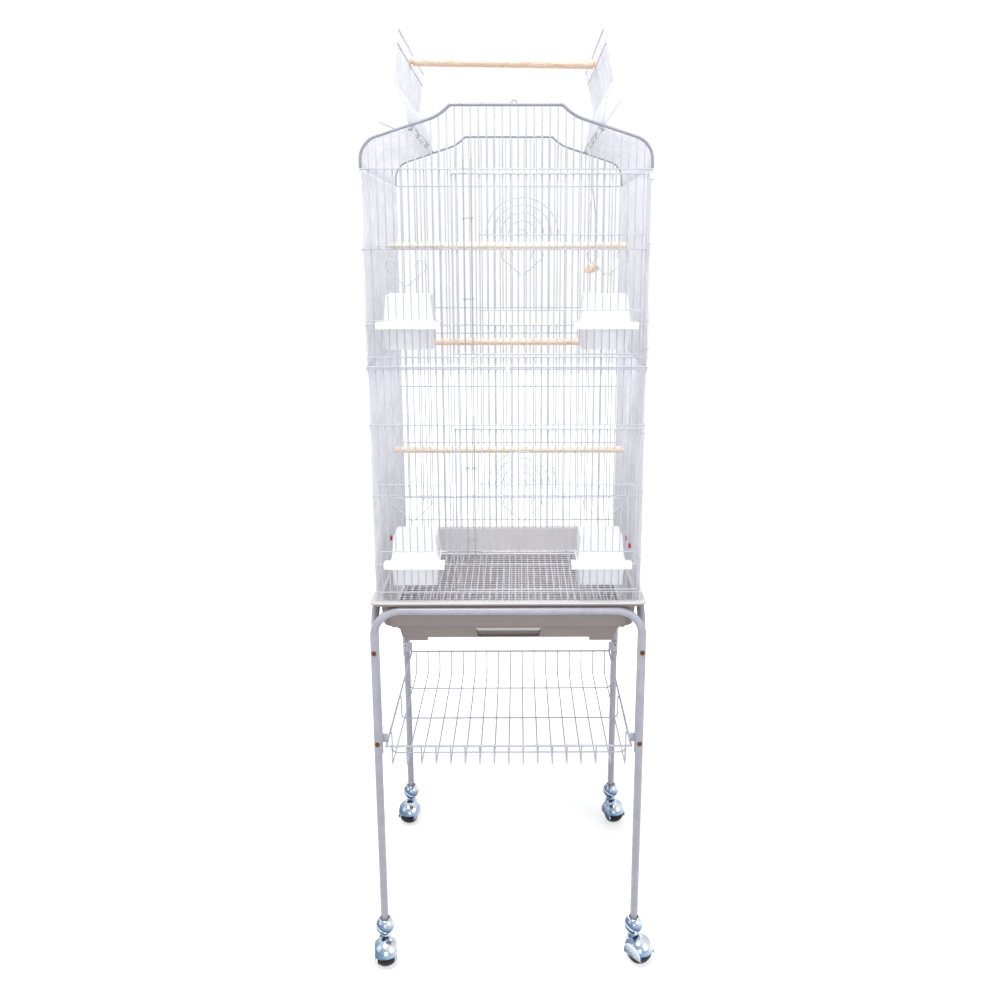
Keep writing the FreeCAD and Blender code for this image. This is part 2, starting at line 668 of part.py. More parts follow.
def play_door(opened):
    """Right play top door, built closed about its hinge line and turned open by an angle."""
    def at(x, z, y):
        return (x, y, z)
    foot_x, foot_z = -(ROOF_OPENING - STEP_FOOT), rim(ARCH_TOP) - STEP_DROP - HINGE_Z
    head_x, head_z = -(ROOF_OPENING - STEP_HEAD), rim(ARCH_TOP) - HINGE_Z
    tip_x = -(ROOF_OPENING - PLAY_DOOR_GAP)
    start = FRAME_R + SLIDE_GAP + 2 * BAR_R + 2
    start_x, start_z = -start * math.cos(ROOF_SLOPE), start * math.sin(ROOF_SLOPE)
    outline = [(start_x, start_z), (foot_x, foot_z), (head_x, head_z), (tip_x, head_z)]
    bars = range(PLAY_DOOR_FIRST_BAR, BARS_DEEP - PLAY_DOOR_FIRST_BAR + 1)
    first_y = bar_y(bars[0])
    bend_end = head_x - STEP_BEND / 2
    bent = outline[:3] + [(bend_end, head_z)]
    bar = swept(bent_path([at(x, z, first_y) for x, z in bent], FOOT_BEND, STEP_BEND), BAR_R)
    run = rod(at(bend_end - WELD_GAP, head_z, first_y), at(tip_x, head_z, first_y), BAR_R)
    solids = []
    for index in bars:
        for piece in (bar, run):
            moved = piece.copy()
            moved.translate(Vector(0, bar_y(index) - first_y, 0))
            solids.append(moved)
    span = bar_y(bars[-1]) + BAR_R
    step = BAR_R + RING_R + WELD_GAP
    normal = (-math.sin(ROOF_SLOPE), -math.cos(ROOF_SLOPE))
    root_x, root_z = start_x * 1.3 + normal[0] * step, start_z * 1.3 + normal[1] * step
    for x, z in ((root_x, root_z), (-STIFFENER_OUT, head_z - step), (tip_x + RING_R, head_z - step)):
        solids.append(rod((x, -span, z), (x, span, z), RING_R))
    for index in (bars[0], BARS_DEEP // 3, BARS_DEEP - 1 - BARS_DEEP // 3, bars[-2]):
        y = (bar_y(index) + bar_y(index + 1)) / 2
        arm = rod((root_x * 0.55, y, root_z * 0.55), (root_x * 0.75, y, root_z * 0.75), EYE_WIRE)
        solids.append(welded([eye((0, y, 0), (0, 1, 0), EYE_R + 0.6), arm]))
    for solid in solids:
        solid.rotate(Vector(0, 0, 0), Vector(0, 1, 0), opened)
        solid.translate(Vector(ROOF_OPENING, 0, HINGE_Z))
    return solids


def stiffener_place(opened):
    """Place across and height of the stiffening wire of an open play top door."""
    turn = math.radians(opened)
    x, z = -STIFFENER_OUT, rim(ARCH_TOP) - HINGE_Z - BAR_R - RING_R - WELD_GAP
    return (ROOF_OPENING + x * math.cos(turn) + z * math.sin(turn),
            HINGE_Z - x * math.sin(turn) + z * math.cos(turn))


def play_perch():
    """Round perch whose two thin ends lie on the stiffening wires, between bars, one space askew."""
    places = [stiffener_place(opened) for opened in PLAY_DOOR_OPEN]
    height = max(z for _, z in places) + RING_R + PLAY_PERCH_NECK_R + SEAT_GAP
    inner, outer = [], []
    for side, (x, _) in zip((1, -1), places):
        inner.append(Vector(side * (x - PLAY_PERCH_INSET), side * PITCH_D, height))
        outer.append(Vector(side * (x + PLAY_PERCH_REACH), side * PITCH_D, height))
    along = (inner[0] - inner[1]).normalize()
    solids = [rod(inner[1], inner[0], PLAY_PERCH_R)]
    for side in (0, 1):
        out = along * (1 - 2 * side)
        start = inner[side] + out * WELD_GAP
        length = (outer[side] - inner[side]).Length
        solids.append(rod(start, start + out * length, PLAY_PERCH_NECK_R))
    return solids


def perch(place):
    """Round perch from side to side between the bars."""
    y, level = place
    end = HALF_W - BAR_R - SEAT_GAP
    return [rod((-end, y, rim(level)), (end, y, rim(level)), PERCH_R)]


def turned_with_swing(solid):
    """A piece of the swing, built square at the origin, turned and hung on the hinge wire."""
    solid.rotate(Vector(0, 0, 0), Vector(0, 0, 1), SWING_YAW)
    solid.translate(Vector(ROOF_OPENING, 0, HINGE_Z))
    return solid


def swing_wire():
    """Wire yoke of the swing: an eye, a stem, two arms and a pin into each end of the bar."""
    ring = FRAME_R + SLIDE_GAP + SWING_WIRE + 0.3
    half = SWING_BAR / 2 + SWING_WIRE + SEAT_GAP
    pieces = [eye((0, 0, 0), (0, 1, 0), ring, SWING_WIRE)]
    pieces.append(rod((0, 0, -ring), (0, 0, -SWING_SPLIT), SWING_WIRE))
    for side in (-1, 1):
        corners = [(0, 0, -SWING_SPLIT), (0, side * half, -SWING_SPREAD), (0, side * half, -SWING_DROP),
                   (0, side * (half - 8), -SWING_DROP)]
        for start, end in zip(corners, corners[1:]):
            pieces.append(rod(start, end, SWING_WIRE))
        pieces += [Part.makeSphere(SWING_WIRE, Vector(*corner)) for corner in corners[:3]]
    return [turned_with_swing(welded(pieces))]


def swing_perch():
    """Short bar of the swing, bored at both ends for the yoke's pins."""
    half = SWING_BAR / 2
    bar = rod((0, -half, -SWING_DROP), (0, half, -SWING_DROP), SWING_BAR_R)
    for side in (-1, 1):
        bore = rod((0, side * (half - 8), -SWING_DROP), (0, side * (half + 1), -SWING_DROP),
                   SWING_WIRE + RUN_GAP)
        bar = bar.cut(bore)
    return [turned_with_swing(bar)]


def roof_prop(angle):
    """Right wire loop that swings on the hinge wire beside the play top door."""
    half = PITCH_D
    ring = EYE_R + 0.6
    turn = math.radians(angle)
    along = (math.cos(turn), math.sin(turn))
    pieces = []
    for y in (-half, half):
        pieces.append(eye((0, y, 0), (0, 1, 0), ring))
        start = (along[0] * ring, y, along[1] * ring)
        pieces.append(rod(start, (along[0] * PROP_LENGTH, y, along[1] * PROP_LENGTH), EYE_WIRE))
        pieces.append(Part.makeSphere(EYE_WIRE, Vector(along[0] * PROP_LENGTH, y, along[1] * PROP_LENGTH)))
    end = (along[0] * PROP_LENGTH, along[1] * PROP_LENGTH)
    pieces.append(rod((end[0], -half, end[1]), (end[0], half, end[1]), EYE_WIRE))
    loop = welded(pieces)
    loop.translate(Vector(ROOF_OPENING, 0, HINGE_Z))
    return [loop]


# ---------------------------------------------------------------- base

def base_tub():
    """Base with a flat rim, tapered walls, an open floor and two runners for the tray."""
    outer_w, outer_d = HALF_W + RIM_OVERHANG_X, HALF_D + RIM_OVERHANG_Y
    ring = tapered_block((outer_w, outer_d, 12, RIM_BOTTOM), (outer_w, outer_d, 12, RIM_TOP))
    wall_w, wall_d = POCKET_HALF_W + TUB_WALL, POCKET_HALF_D + TUB_WALL
    walls = tapered_block((wall_w - TUB_TAPER, wall_d - TUB_TAPER, TUB_CORNER, TUB_BOTTOM),
                          (wall_w, wall_d, TUB_CORNER, RIM_BOTTOM + 1))
    pocket_low = (POCKET_HALF_W - TUB_TAPER, POCKET_HALF_D - TUB_TAPER, TUB_CORNER - TUB_WALL,
                  TUB_BOTTOM + TUB_WALL)
    pocket = tapered_block(pocket_low, (POCKET_HALF_W, POCKET_HALF_D, TUB_CORNER - TUB_WALL, RIM_TOP + 1))
    floor = box((-FLOOR_HALF_W, -FLOOR_HALF_D, TUB_BOTTOM - 1), (FLOOR_HALF_W, FLOOR_HALF_D, RIM_TOP))
    tub = welded([ring, walls]).cut(pocket).cut(floor)
    runners = []
    for side in (-1, 1):
        inner, outer = side * FLOOR_HALF_W, side * (FLOOR_HALF_W + RUNNER_THICK)
        plate = box((min(inner, outer), -FLOOR_HALF_D, TUB_BOTTOM - RUNNER_DEPTH),
                    (max(inner, outer), FLOOR_HALF_D, TUB_BOTTOM + 1))
        tip = side * (FLOOR_HALF_W - TRAY_FLANGE + 1)
        shelf = box((min(tip, outer), -FLOOR_HALF_D, SHELF_TOP - RUNNER_THICK),
                    (max(tip, outer), FLOOR_HALF_D, SHELF_TOP))
        runners += [plate, shelf]
    return [welded([tub] + runners)]


def tray_block(inset, low_z, high_z):
    """Tapered block of the tray's outline, shrunk by an inset."""
    half_w = FLOOR_HALF_W - TRAY_FLANGE - 0.5 - inset
    half_d = FLOOR_HALF_D - inset
    corner = max(6.0 - inset, 1.0)
    return tapered_block((half_w - TRAY_TAPER, half_d - 2, corner, low_z), (half_w, half_d, corner, high_z))


def slide_out_tray():
    """Shallow tray with side flanges, a pull handle in its front and two feet."""
    bottom = TRAY_FLANGE_TOP - TRAY_HEIGHT
    shell = tray_block(0, bottom, TRAY_FLANGE_TOP)
    half_w = FLOOR_HALF_W - 0.5
    inner_w = half_w - TRAY_FLANGE
    front = -FLOOR_HALF_D
    flange = box((-half_w, front + 14, TRAY_FLANGE_TOP - TRAY_WALL), (half_w, FLOOR_HALF_D, TRAY_FLANGE_TOP))
    apron = box((-inner_w - 0.5, front - TRAY_WALL, TRAY_FLANGE_TOP - 6), (inner_w + 0.5, front + 2,
                TRAY_FLANGE_TOP))
    body = welded([shell, flange, apron])
    body = body.cut(tray_block(TRAY_WALL, bottom + TRAY_WALL, TRAY_FLANGE_TOP + 1))
    handle_low = bottom + 2.5
    pocket_wall = box((-HANDLE_WIDTH / 2 - 2, front + 0.5, handle_low - 1.5),
                      (HANDLE_WIDTH / 2 + 2, front + HANDLE_DEPTH + 2, TRAY_FLANGE_TOP - 1))
    handle_high, top_half = handle_low + HANDLE_HEIGHT, HANDLE_WIDTH / 2
    foot_half = top_half - HANDLE_SLANT
    corners = [(-foot_half, handle_low), (foot_half, handle_low), (top_half, handle_high),
               (-top_half, handle_high), (-foot_half, handle_low)]
    sides = Part.Face(Part.makePolygon([Vector(x, front - 10, z) for x, z in corners]))
    recess = sides.extrude(Vector(0, HANDLE_DEPTH + 10, 0))
    lip = box((-top_half, front - TRAY_WALL, handle_high - 5), (top_half, front - 0.5, handle_high + 1))
    body = welded([body, pocket_wall]).cut(recess)
    pieces = [body, lip]
    for side in (-1, 1):
        middle = side * FOOT_PLACE
        pieces.append(box((middle - FOOT_WIDTH / 2, front + 3, bottom - FOOT_DROP),
                          (middle + FOOT_WIDTH / 2, front + 17, bottom + 1)))
    return [welded(pieces)]


def floor_grille():
    """Lift-out wire floor on the tub's ledge: a frame with two crossed layers of wires."""
    half_w = POCKET_HALF_W - TUB_TAPER - GRILLE_MARGIN - FRAME_R
    half_d = POCKET_HALF_D - TUB_TAPER - GRILLE_MARGIN - FRAME_R
    seat = TUB_BOTTOM + TUB_WALL + SEAT_GAP
    z = seat + FRAME_R
    edge = FRAME_R + WELD_GAP
    solids = []
    end = half_w + FRAME_R
    for side in (-1, 1):
        solids.append(rod((-end, side * half_d, z), (end, side * half_d, z), FRAME_R))
        inner = half_d - edge
        solids.append(rod((side * half_w, -inner, z), (side * half_w, inner, z), FRAME_R))
    lower = seat + GRILLE_R
    upper = lower + 2 * GRILLE_R + WELD_GAP
    count_w = int(2 * (half_w - edge) / GRILLE_PITCH)
    count_d = int(2 * (half_d - edge) / GRILLE_PITCH)
    for index in range(count_w):
        x = (index - (count_w - 1) / 2) * GRILLE_PITCH
        solids.append(rod((x, -half_d + edge, upper), (x, half_d - edge, upper), GRILLE_R))
    for index in range(count_d):
        y = (index - (count_d - 1) / 2) * GRILLE_PITCH
        solids.append(rod((-half_w + edge, y, lower), (half_w - edge, y, lower), GRILLE_R))
    return solids


def red_clips():
    """Small red clips low on the inside of the side walls."""
    solids = []
    for side, y in ((-1, -35.0), (1, -39.0), (1, -86.0)):
        inner, outer = side * (HALF_W - BAR_R - SEAT_GAP - 4), side * (HALF_W - BAR_R - SEAT_GAP)
        z = rim(LOW_RING + 36)
        solids.append(box((min(inner, outer), y - 5, z), (max(inner, outer), y + 5, z + 8)))
    return solids


# ---------------------------------------------------------------- stand

def bent_tube(points):
    """A hollow bent tube."""
    path = bent_path(points, RAIL_BEND)
    return swept(path, TUBE_R).cut(swept(path, TUBE_R - TUBE_WALL))


def bolt_holes(x):
    """Round bores for the bolts at one corner, through front or rear legs."""
    reach = LEG_Y + 2 * TUBE_R
    return [rod((x, -reach, z), (x, reach, z), BOLT_R + RUN_GAP) for z in BOLT_LEVELS]


def cross_frame(side):
    """Front or rear frame of the stand: two long legs and a top rail in one bent tube."""
    y = side * LEG_Y
    tube = bent_tube([(-LEG_X, y, LEG_FOOT), (-LEG_X, y, RAIL_HEIGHT), (LEG_X, y, RAIL_HEIGHT),
                      (LEG_X, y, LEG_FOOT)])
    return [tube.cut(Part.makeCompound(bolt_holes(-LEG_X) + bolt_holes(LEG_X)))]


def side_frame(side):
    """Side frame of the stand: a rail and two short legs, bolted inside the long legs."""
    x = side * LEG_X
    tube = bent_tube([(x, -SIDE_LEG_Y, SIDE_LEG_FOOT), (x, -SIDE_LEG_Y, RAIL_HEIGHT),
                      (x, SIDE_LEG_Y, RAIL_HEIGHT), (x, SIDE_LEG_Y, SIDE_LEG_FOOT)])
    return [tube.cut(Part.makeCompound(bolt_holes(x)))]


def bolt_places():
    """Each bolt as (x, side, z)."""
    return [(x, side, z) for x in (-LEG_X, LEG_X) for side in (-1, 1) for z in BOLT_LEVELS]


def bolt_end():
    """Distance from the middle of the cage to where a bolt's nut sits."""
    return SIDE_LEG_Y - TUBE_R - LUG_THICK - 2 * WELD_GAP


def stand_bolts():
    """Round-headed bolts through the doubled legs."""
    solids = []
    for x, side, z in bolt_places():
        head_y = side * (LEG_Y + TUBE_R + WELD_GAP)
        shank = rod((x, head_y, z), (x, side * (bolt_end() - NUT_THICK - 2), z), BOLT_R)
        dome = Part.makeSphere(BOLT_HEAD_R, Vector(x, head_y, z))
        near, far = head_y, head_y + side * BOLT_HEAD
        limit = box((x - 9, min(near, far), z - 9), (x + 9, max(near, far), z + 9))
        solids.append(welded([shank, dome.common(limit)]))
    return solids


def stand_nuts():
    """Hexagon nuts inside the legs."""
    solids = []
    for x, side, z in bolt_places():
        points = [Vector(x + 4.6 * math.cos(math.radians(60 * k)), side * bolt_end(),
                         z + 4.6 * math.sin(math.radians(60 * k))) for k in range(7)]
        face = Part.Face(Part.makePolygon(points))
        nut = face.extrude(Vector(0, -side * NUT_THICK, 0))
        solids.append(nut.cut(rod((x, -LEG_Y, z), (x, LEG_Y, z), BOLT_R + RUN_GAP / 2)))
    return solids


def basket_rim_z(y):
    """Height of the sloping basket rim at a depth."""
    share = (y + BASKET_FRONT) / (BASKET_FRONT + BASKET_REAR)
    return BASKET_RIM_FRONT + share * (BASKET_RIM_REAR - BASKET_RIM_FRONT)


def basket_floor_z(y):
    """Height of the sloping basket floor's wires at a depth."""
    share = (y + BASKET_FRONT) / (BASKET_FRONT + BASKET_REAR)
    return BASKET_FLOOR_FRONT + share * (BASKET_FLOOR_REAR - BASKET_FLOOR_FRONT)


def storage_basket():
    """Wire basket between the legs, hung on four lugs, its floor falling to the rear."""
    solids = []
    rim_x = LEG_X - TUBE_R - BASKET_RAIL_R - 4
    front, rear = -BASKET_FRONT, BASKET_REAR
    for side in (-1, 1):
        solids.append(rod((side * rim_x, front, BASKET_RIM_FRONT), (side * rim_x, rear, BASKET_RIM_REAR),
                          BASKET_RAIL_R))
    end = rim_x - BASKET_RAIL_R - WELD_GAP
    solids.append(rod((-end, front, BASKET_RIM_FRONT), (end, front, BASKET_RIM_FRONT), BASKET_RAIL_R))
    solids.append(rod((-end, rear, BASKET_RIM_REAR), (end, rear, BASKET_RIM_REAR), BASKET_RAIL_R))
    step = BASKET_RAIL_R + BASKET_WIRE_R + WELD_GAP
    spacing = 2 * BASKET_HALF_WIDTH / (BASKET_WIRES - 1)
    for index in range(BASKET_WIRES):
        x = -BASKET_HALF_WIDTH + index * spacing
        for y, level in ((front + step, BASKET_RIM_FRONT), (rear - step, BASKET_RIM_REAR)):
            solids.append(rod((x, y, basket_floor_z(y) - BASKET_WIRE_R), (x, y, level + 1), BASKET_WIRE_R))
        inner = step + BASKET_WIRE_R + 3 * WELD_GAP
        near, far = front + inner, rear - inner
        solids.append(rod((x, near, basket_floor_z(near)), (x, far, basket_floor_z(far)), BASKET_WIRE_R))
    cross_x = rim_x - BASKET_RAIL_R - BASKET_WIRE_R - WELD_GAP
    for y in BASKET_CROSS:
        cross_z = basket_floor_z(y) - 2 * BASKET_WIRE_R - WELD_GAP
        solids.append(rod((-cross_x + BASKET_WIRE_R + WELD_GAP, y, cross_z),
                          (cross_x - BASKET_WIRE_R - WELD_GAP, y, cross_z), BASKET_WIRE_R))
        for side in (-1, 1):
            solids.append(rod((side * cross_x, y, cross_z - BASKET_WIRE_R),
                              (side * cross_x, y, basket_rim_z(y) + 1), BASKET_WIRE_R))
    return solids + basket_lugs(rim_x)


def basket_lugs(rim_x):
    """Flat lugs from the basket's side rails to the lower bolts."""
    solids = []
    level = BOLT_LEVELS[0]
    for x_side in (-1, 1):
        for side in (-1, 1):
            near, far = side * (bolt_end() + WELD_GAP), side * (bolt_end() + LUG_THICK + WELD_GAP)
            inner, outer = x_side * (rim_x - 2), x_side * (LEG_X + 5)
            bottom = basket_rim_z(near) + BASKET_RAIL_R + 0.3
            plate = box((min(inner, outer), min(near, far), bottom), (max(inner, outer), max(near, far),
                        level + 6))
            hole = rod((x_side * LEG_X, -LEG_Y, level), (x_side * LEG_X, LEG_Y, level), BOLT_R + RUN_GAP)
            solids.append(plate.cut(hole))
    return solids


# ---------------------------------------------------------------- casters

CASTER_PLACES = {"front_left": (-LEG_X, -LEG_Y), "front_right": (LEG_X, -LEG_Y),
                 "rear_left": (-LEG_X, LEG_Y), "rear_right": (LEG_X, LEG_Y)}


def caster_collars():
    """Round sockets that hold the legs' feet and the caster stems."""
    solids = []
    for x, y in CASTER_PLACES.values():
        ball = Part.makeSphere(COLLAR_R, Vector(x, y, COLLAR_Z))
        slab = box((x - 20, y - 20, COLLAR_Z - COLLAR_HALF_HEIGHT), (x + 20, y + 20,
                   COLLAR_Z + COLLAR_HALF_HEIGHT))
        bore = rod((x, y, LEG_FOOT - WELD_GAP), (x, y, COLLAR_Z + COLLAR_R), TUBE_R + WELD_GAP)
        stem_bore = rod((x, y, COLLAR_Z - COLLAR_R), (x, y, LEG_FOOT), STEM_R + RUN_GAP)
        solids.append(ball.common(slab).cut(bore).cut(stem_bore))
    return solids


def placed_caster(solid, name):
    """Turn a caster piece, built at the origin with the wheel towards -Y, and put it under its leg."""
    x, y = CASTER_PLACES[name]
    solid.rotate(Vector(0, 0, 0), Vector(0, 0, 1), CASTER_YAWS[name])
    solid.translate(Vector(x, y, 0))
    return [solid]


def barrel(radius, half_width, bore=0.0):
    """A ball cut flat on both sides, about the wheel's axle, with or without a bore."""
    rise = math.sqrt(radius ** 2 - half_width ** 2)
    centre = Vector(0, -CASTER_TRAIL, WHEEL_R)
    places = [(-half_width, bore), (-half_width, rise), (0, radius), (half_width, rise), (half_width, bore)]
    points = [centre + Vector(x, 0, z) for x, z in places]
    edges = [Part.LineSegment(points[0], points[1]).toShape(), Part.Arc(*points[1:4]).toShape(),
             Part.LineSegment(points[3], points[4]).toShape(),
             Part.LineSegment(points[4], points[0]).toShape()]
    return Part.Face(Part.Wire(edges)).revolve(centre, Vector(1, 0, 0), 360)


def caster_hood(name):
    """Hooded fork with its stem and axle."""
    neck_top = COLLAR_Z - COLLAR_HALF_HEIGHT - SEAT_GAP
    shell = welded([barrel(HOOD_R, HOOD_HALF_WIDTH), rod((0, 0, WHEEL_R), (0, 0, neck_top), 7.0)])
    shell = shell.cut(barrel(HOOD_R - HOOD_SKIN, HOOD_HALF_WIDTH - HOOD_SKIN))
    below = box((-40, -60, -10), (40, 60, HOOD_EDGE))
    shell = shell.cut(below)
    stem = rod((0, 0, neck_top - 1), (0, 0, LEG_FOOT - 1), STEM_R)
    half = HOOD_HALF_WIDTH - HOOD_SKIN / 2
    axle = rod((-half, -CASTER_TRAIL, WHEEL_R), (half, -CASTER_TRAIL, WHEEL_R), AXLE_R)
    return placed_caster(welded([shell, stem, axle]), name)


def caster_wheel(name):
    """Rounded black wheel, bored for the axle."""
    return placed_caster(barrel(WHEEL_R, WHEEL_HALF_WIDTH, AXLE_R + RUN_GAP), name)


# ---------------------------------------------------------------- assembly

def build_nodes():
    """Every node of the cage, by name."""
    upper_low = rim(LOWER_TOP) + PANEL_SPLIT - FRAME_R
    lower_high = rim(LOWER_TOP) + FRAME_R
    side_top = rim(ROOF_RING) + RING_R
    upper_frame = LOWER_TOP + PANEL_SPLIT
    left_feeder, right_feeder = feeder_bars()
    nodes = {
        "front_panel_upper": front_panel_upper(),
        "front_panel_lower": front_panel_lower(),
        "rear_panel_upper": rear_panel(upper_low, bar_top, UPPER_RINGS, upper_frame),
        "rear_panel_lower": rear_panel(PANEL_FOOT, lambda x: lower_high, LOWER_RINGS, LOWER_TOP),
        "roof_panel_right": roof_panel(),
        "roof_panel_left": mirrored(roof_panel()),
        "front_arch": [arch(-HALF_D), hanging_loop(), end_bar(bar_y(1))],
        "rear_arch": [arch(HALF_D), end_bar(bar_y(BARS_DEEP - 1))],
        "panel_clips": panel_clips(),
        "upper_front_door": big_door(DOOR_RING_UP, FEEDER_RING_UP, TOP_RING_UP, ROOF_RING),
        "lower_front_door": big_door(LOW_RING, FEEDER_RING_LOW, TOP_RING_LOW, DOOR_RING_LOW),
        "upper_latch": door_latch(DOOR_RING_UP, ROOF_RING),
        "lower_latch": door_latch(LOW_RING, DOOR_RING_LOW),
        "upper_centre_door": sliding_door(centre_bars(), FEEDER_RING_UP, SLIDE_DOOR_LIFT, True),
        "lower_centre_door": sliding_door(centre_bars(), FEEDER_RING_LOW, SLIDE_DOOR_LIFT, True),
        "upper_left_feeder_door": sliding_door(left_feeder, FEEDER_RING_UP, 0, False),
        "upper_right_feeder_door": sliding_door(right_feeder, FEEDER_RING_UP, SLIDE_DOOR_LIFT, False),
        "lower_left_feeder_door": sliding_door(left_feeder, FEEDER_RING_LOW, SLIDE_DOOR_LIFT, False),
        "lower_right_feeder_door": sliding_door(right_feeder, FEEDER_RING_LOW, SLIDE_DOOR_LIFT, False),
        "upper_left_feeder": feeder(left_feeder, FEEDER_RING_UP),
        "upper_right_feeder": feeder(right_feeder, FEEDER_RING_UP),
        "lower_left_feeder": feeder(left_feeder, FEEDER_RING_LOW),
        "lower_right_feeder": feeder(right_feeder, FEEDER_RING_LOW),
        "play_top_door_right": play_door(PLAY_DOOR_OPEN[0]),
        "play_top_door_left": mirrored(play_door(PLAY_DOOR_OPEN[1])),
        "play_top_perch": play_perch(),
        "roof_loop_right": roof_prop(PROP_RIGHT_ANGLE),
        "roof_loop_left": mirrored(roof_prop(PROP_LEFT_ANGLE)),
        "upper_perch": perch(UPPER_PERCH),
        "middle_perch": perch(MIDDLE_PERCH),
        "lower_perch": perch(LOWER_PERCH),
        "swing_wire": swing_wire(),
        "swing_perch": swing_perch(),
        "base_tub": base_tub(),
        "slide_out_tray": slide_out_tray(),
        "floor_grille": floor_grille(),
        "red_clips": red_clips(),
        "stand_front_frame": cross_frame(-1),
        "stand_rear_frame": cross_frame(1),
        "stand_left_frame": side_frame(-1),
        "stand_right_frame": side_frame(1),
        "stand_bolts": stand_bolts(),
        "stand_nuts": stand_nuts(),
        "storage_basket": storage_basket(),
        "caster_collars": caster_collars(),
    }
    for face in ("left", "right"):
        nodes[face + "_panel_upper"] = side_panel(face, upper_low, side_top, UPPER_RINGS, upper_frame)
        nodes[face + "_panel_lower"] = side_panel(face, PANEL_FOOT, lower_high, LOWER_RINGS, LOWER_TOP)
    for name in CASTER_PLACES:
        nodes["caster_hood_" + name] = caster_hood(name)
        nodes["caster_wheel_" + name] = caster_wheel(name)
    return nodes


def centre_offset(nodes):
    """Shift that puts the origin under the middle of the whole cage's bounding box."""
    box_all = FreeCAD.BoundBox()
    for solids in nodes.values():
        for solid in solids:
            box_all.add(solid.BoundBox)
    return Vector(-box_all.Center.x, -box_all.Center.y, -box_all.ZMin)


NODES = build_nodes()
OFFSET = centre_offset(NODES)
for node_name, node_solids in NODES.items():
    shape = Part.makeCompound(node_solids)
    shape.translate(OFFSET)
    shape.exportStep(f"parts/{node_name}.step")
print("nodes", len(NODES), "offset", [round(value, 3) for value in OFFSET])
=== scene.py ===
"""Looks of a wire bird cage with a play top, on a rolling tube stand with a wire basket.

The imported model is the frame: it says where each piece is and what it moves with.  Wires are
drawn again as round wire with trimmed ends and welded crossings, sheet and moulded pieces get
their walls and edges, and every surface gets its finish.  Lengths are written in millimetres
and times MM where they enter the scene, which is in metres.
"""

import logging
import math
from dataclasses import dataclass, field
from enum import Enum
from functools import cache
from itertools import product

import bmesh
import bpy
import numpy as np
from mathutils import Matrix, Vector
from mathutils.geometry import intersect_line_line

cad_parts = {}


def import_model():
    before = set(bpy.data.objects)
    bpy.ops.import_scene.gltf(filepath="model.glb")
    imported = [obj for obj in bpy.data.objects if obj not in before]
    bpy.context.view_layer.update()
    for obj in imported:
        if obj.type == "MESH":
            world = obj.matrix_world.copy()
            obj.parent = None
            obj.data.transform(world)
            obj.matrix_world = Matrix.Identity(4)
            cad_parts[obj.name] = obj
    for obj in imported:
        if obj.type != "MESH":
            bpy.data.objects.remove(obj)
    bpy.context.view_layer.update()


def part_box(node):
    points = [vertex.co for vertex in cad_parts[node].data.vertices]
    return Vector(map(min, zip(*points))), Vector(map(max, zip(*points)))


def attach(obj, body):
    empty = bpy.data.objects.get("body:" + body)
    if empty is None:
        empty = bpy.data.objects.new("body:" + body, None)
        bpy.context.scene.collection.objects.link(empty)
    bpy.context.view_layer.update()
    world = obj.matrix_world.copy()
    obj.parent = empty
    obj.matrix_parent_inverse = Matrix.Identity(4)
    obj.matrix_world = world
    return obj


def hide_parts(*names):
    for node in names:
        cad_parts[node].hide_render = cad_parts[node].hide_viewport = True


MM = 0.001
LOG = logging.getLogger("bird_cage")
RGB = tuple[float, float, float]
Points = list[tuple[float, float]]
Rows = tuple[tuple[float, ...], ...]
Socket = bpy.types.NodeSocket
Piece = bpy.types.Object
RIGHT, BACK, UP = Vector((1, 0, 0)), Vector((0, 1, 0)), Vector((0, 0, 1))


# ---------------------------------------------------------------- nodes

def add_node(tree: bpy.types.NodeTree, kind: str, values: dict[str, object]) -> bpy.types.Node:
    """Add a node and set its properties, and set or link its inputs, by name.

    Args:
        tree: Tree that the node goes into.
        kind: Full node type.
        values: Value or socket of each property or input, with underscores for spaces.

    Returns:
        The new node.
    """
    node = tree.nodes.new(kind)
    for key, value in values.items():
        label = key.replace("_", " ")
        if label not in node.inputs:
            setattr(node, key, value)
        elif isinstance(value, Socket):
            tree.links.new(value, node.inputs[label])
        else:
            node.inputs[label].default_value = value
    return node


def add_math(tree: bpy.types.NodeTree, operation: str, *terms: Socket | float) -> Socket:
    """Add a math node.

    Args:
        tree: Tree that the node goes into.
        operation: What it works out.
        terms: Socket or number of each input, in order.

    Returns:
        The value socket.
    """
    node = add_node(tree, "ShaderNodeMath", {"operation": operation})
    for term, entry in zip(terms, node.inputs):
        if isinstance(term, Socket):
            tree.links.new(term, entry)
        else:
            entry.default_value = term
    return node.outputs[0]


def seen_plainly(tree: bpy.types.NodeTree) -> Socket:
    """A value that is 1 on rays that show a surface: straight, in a gloss or through glass.

    Args:
        tree: Tree that the nodes go into.

    Returns:
        The value socket.
    """
    rays = add_node(tree, "ShaderNodeLightPath", {}).outputs
    first = add_math(tree, "MAXIMUM", rays["Is Camera Ray"], rays["Is Glossy Ray"])
    return add_math(tree, "MAXIMUM", first, rays["Is Transmission Ray"])


# ---------------------------------------------------------------- finishes

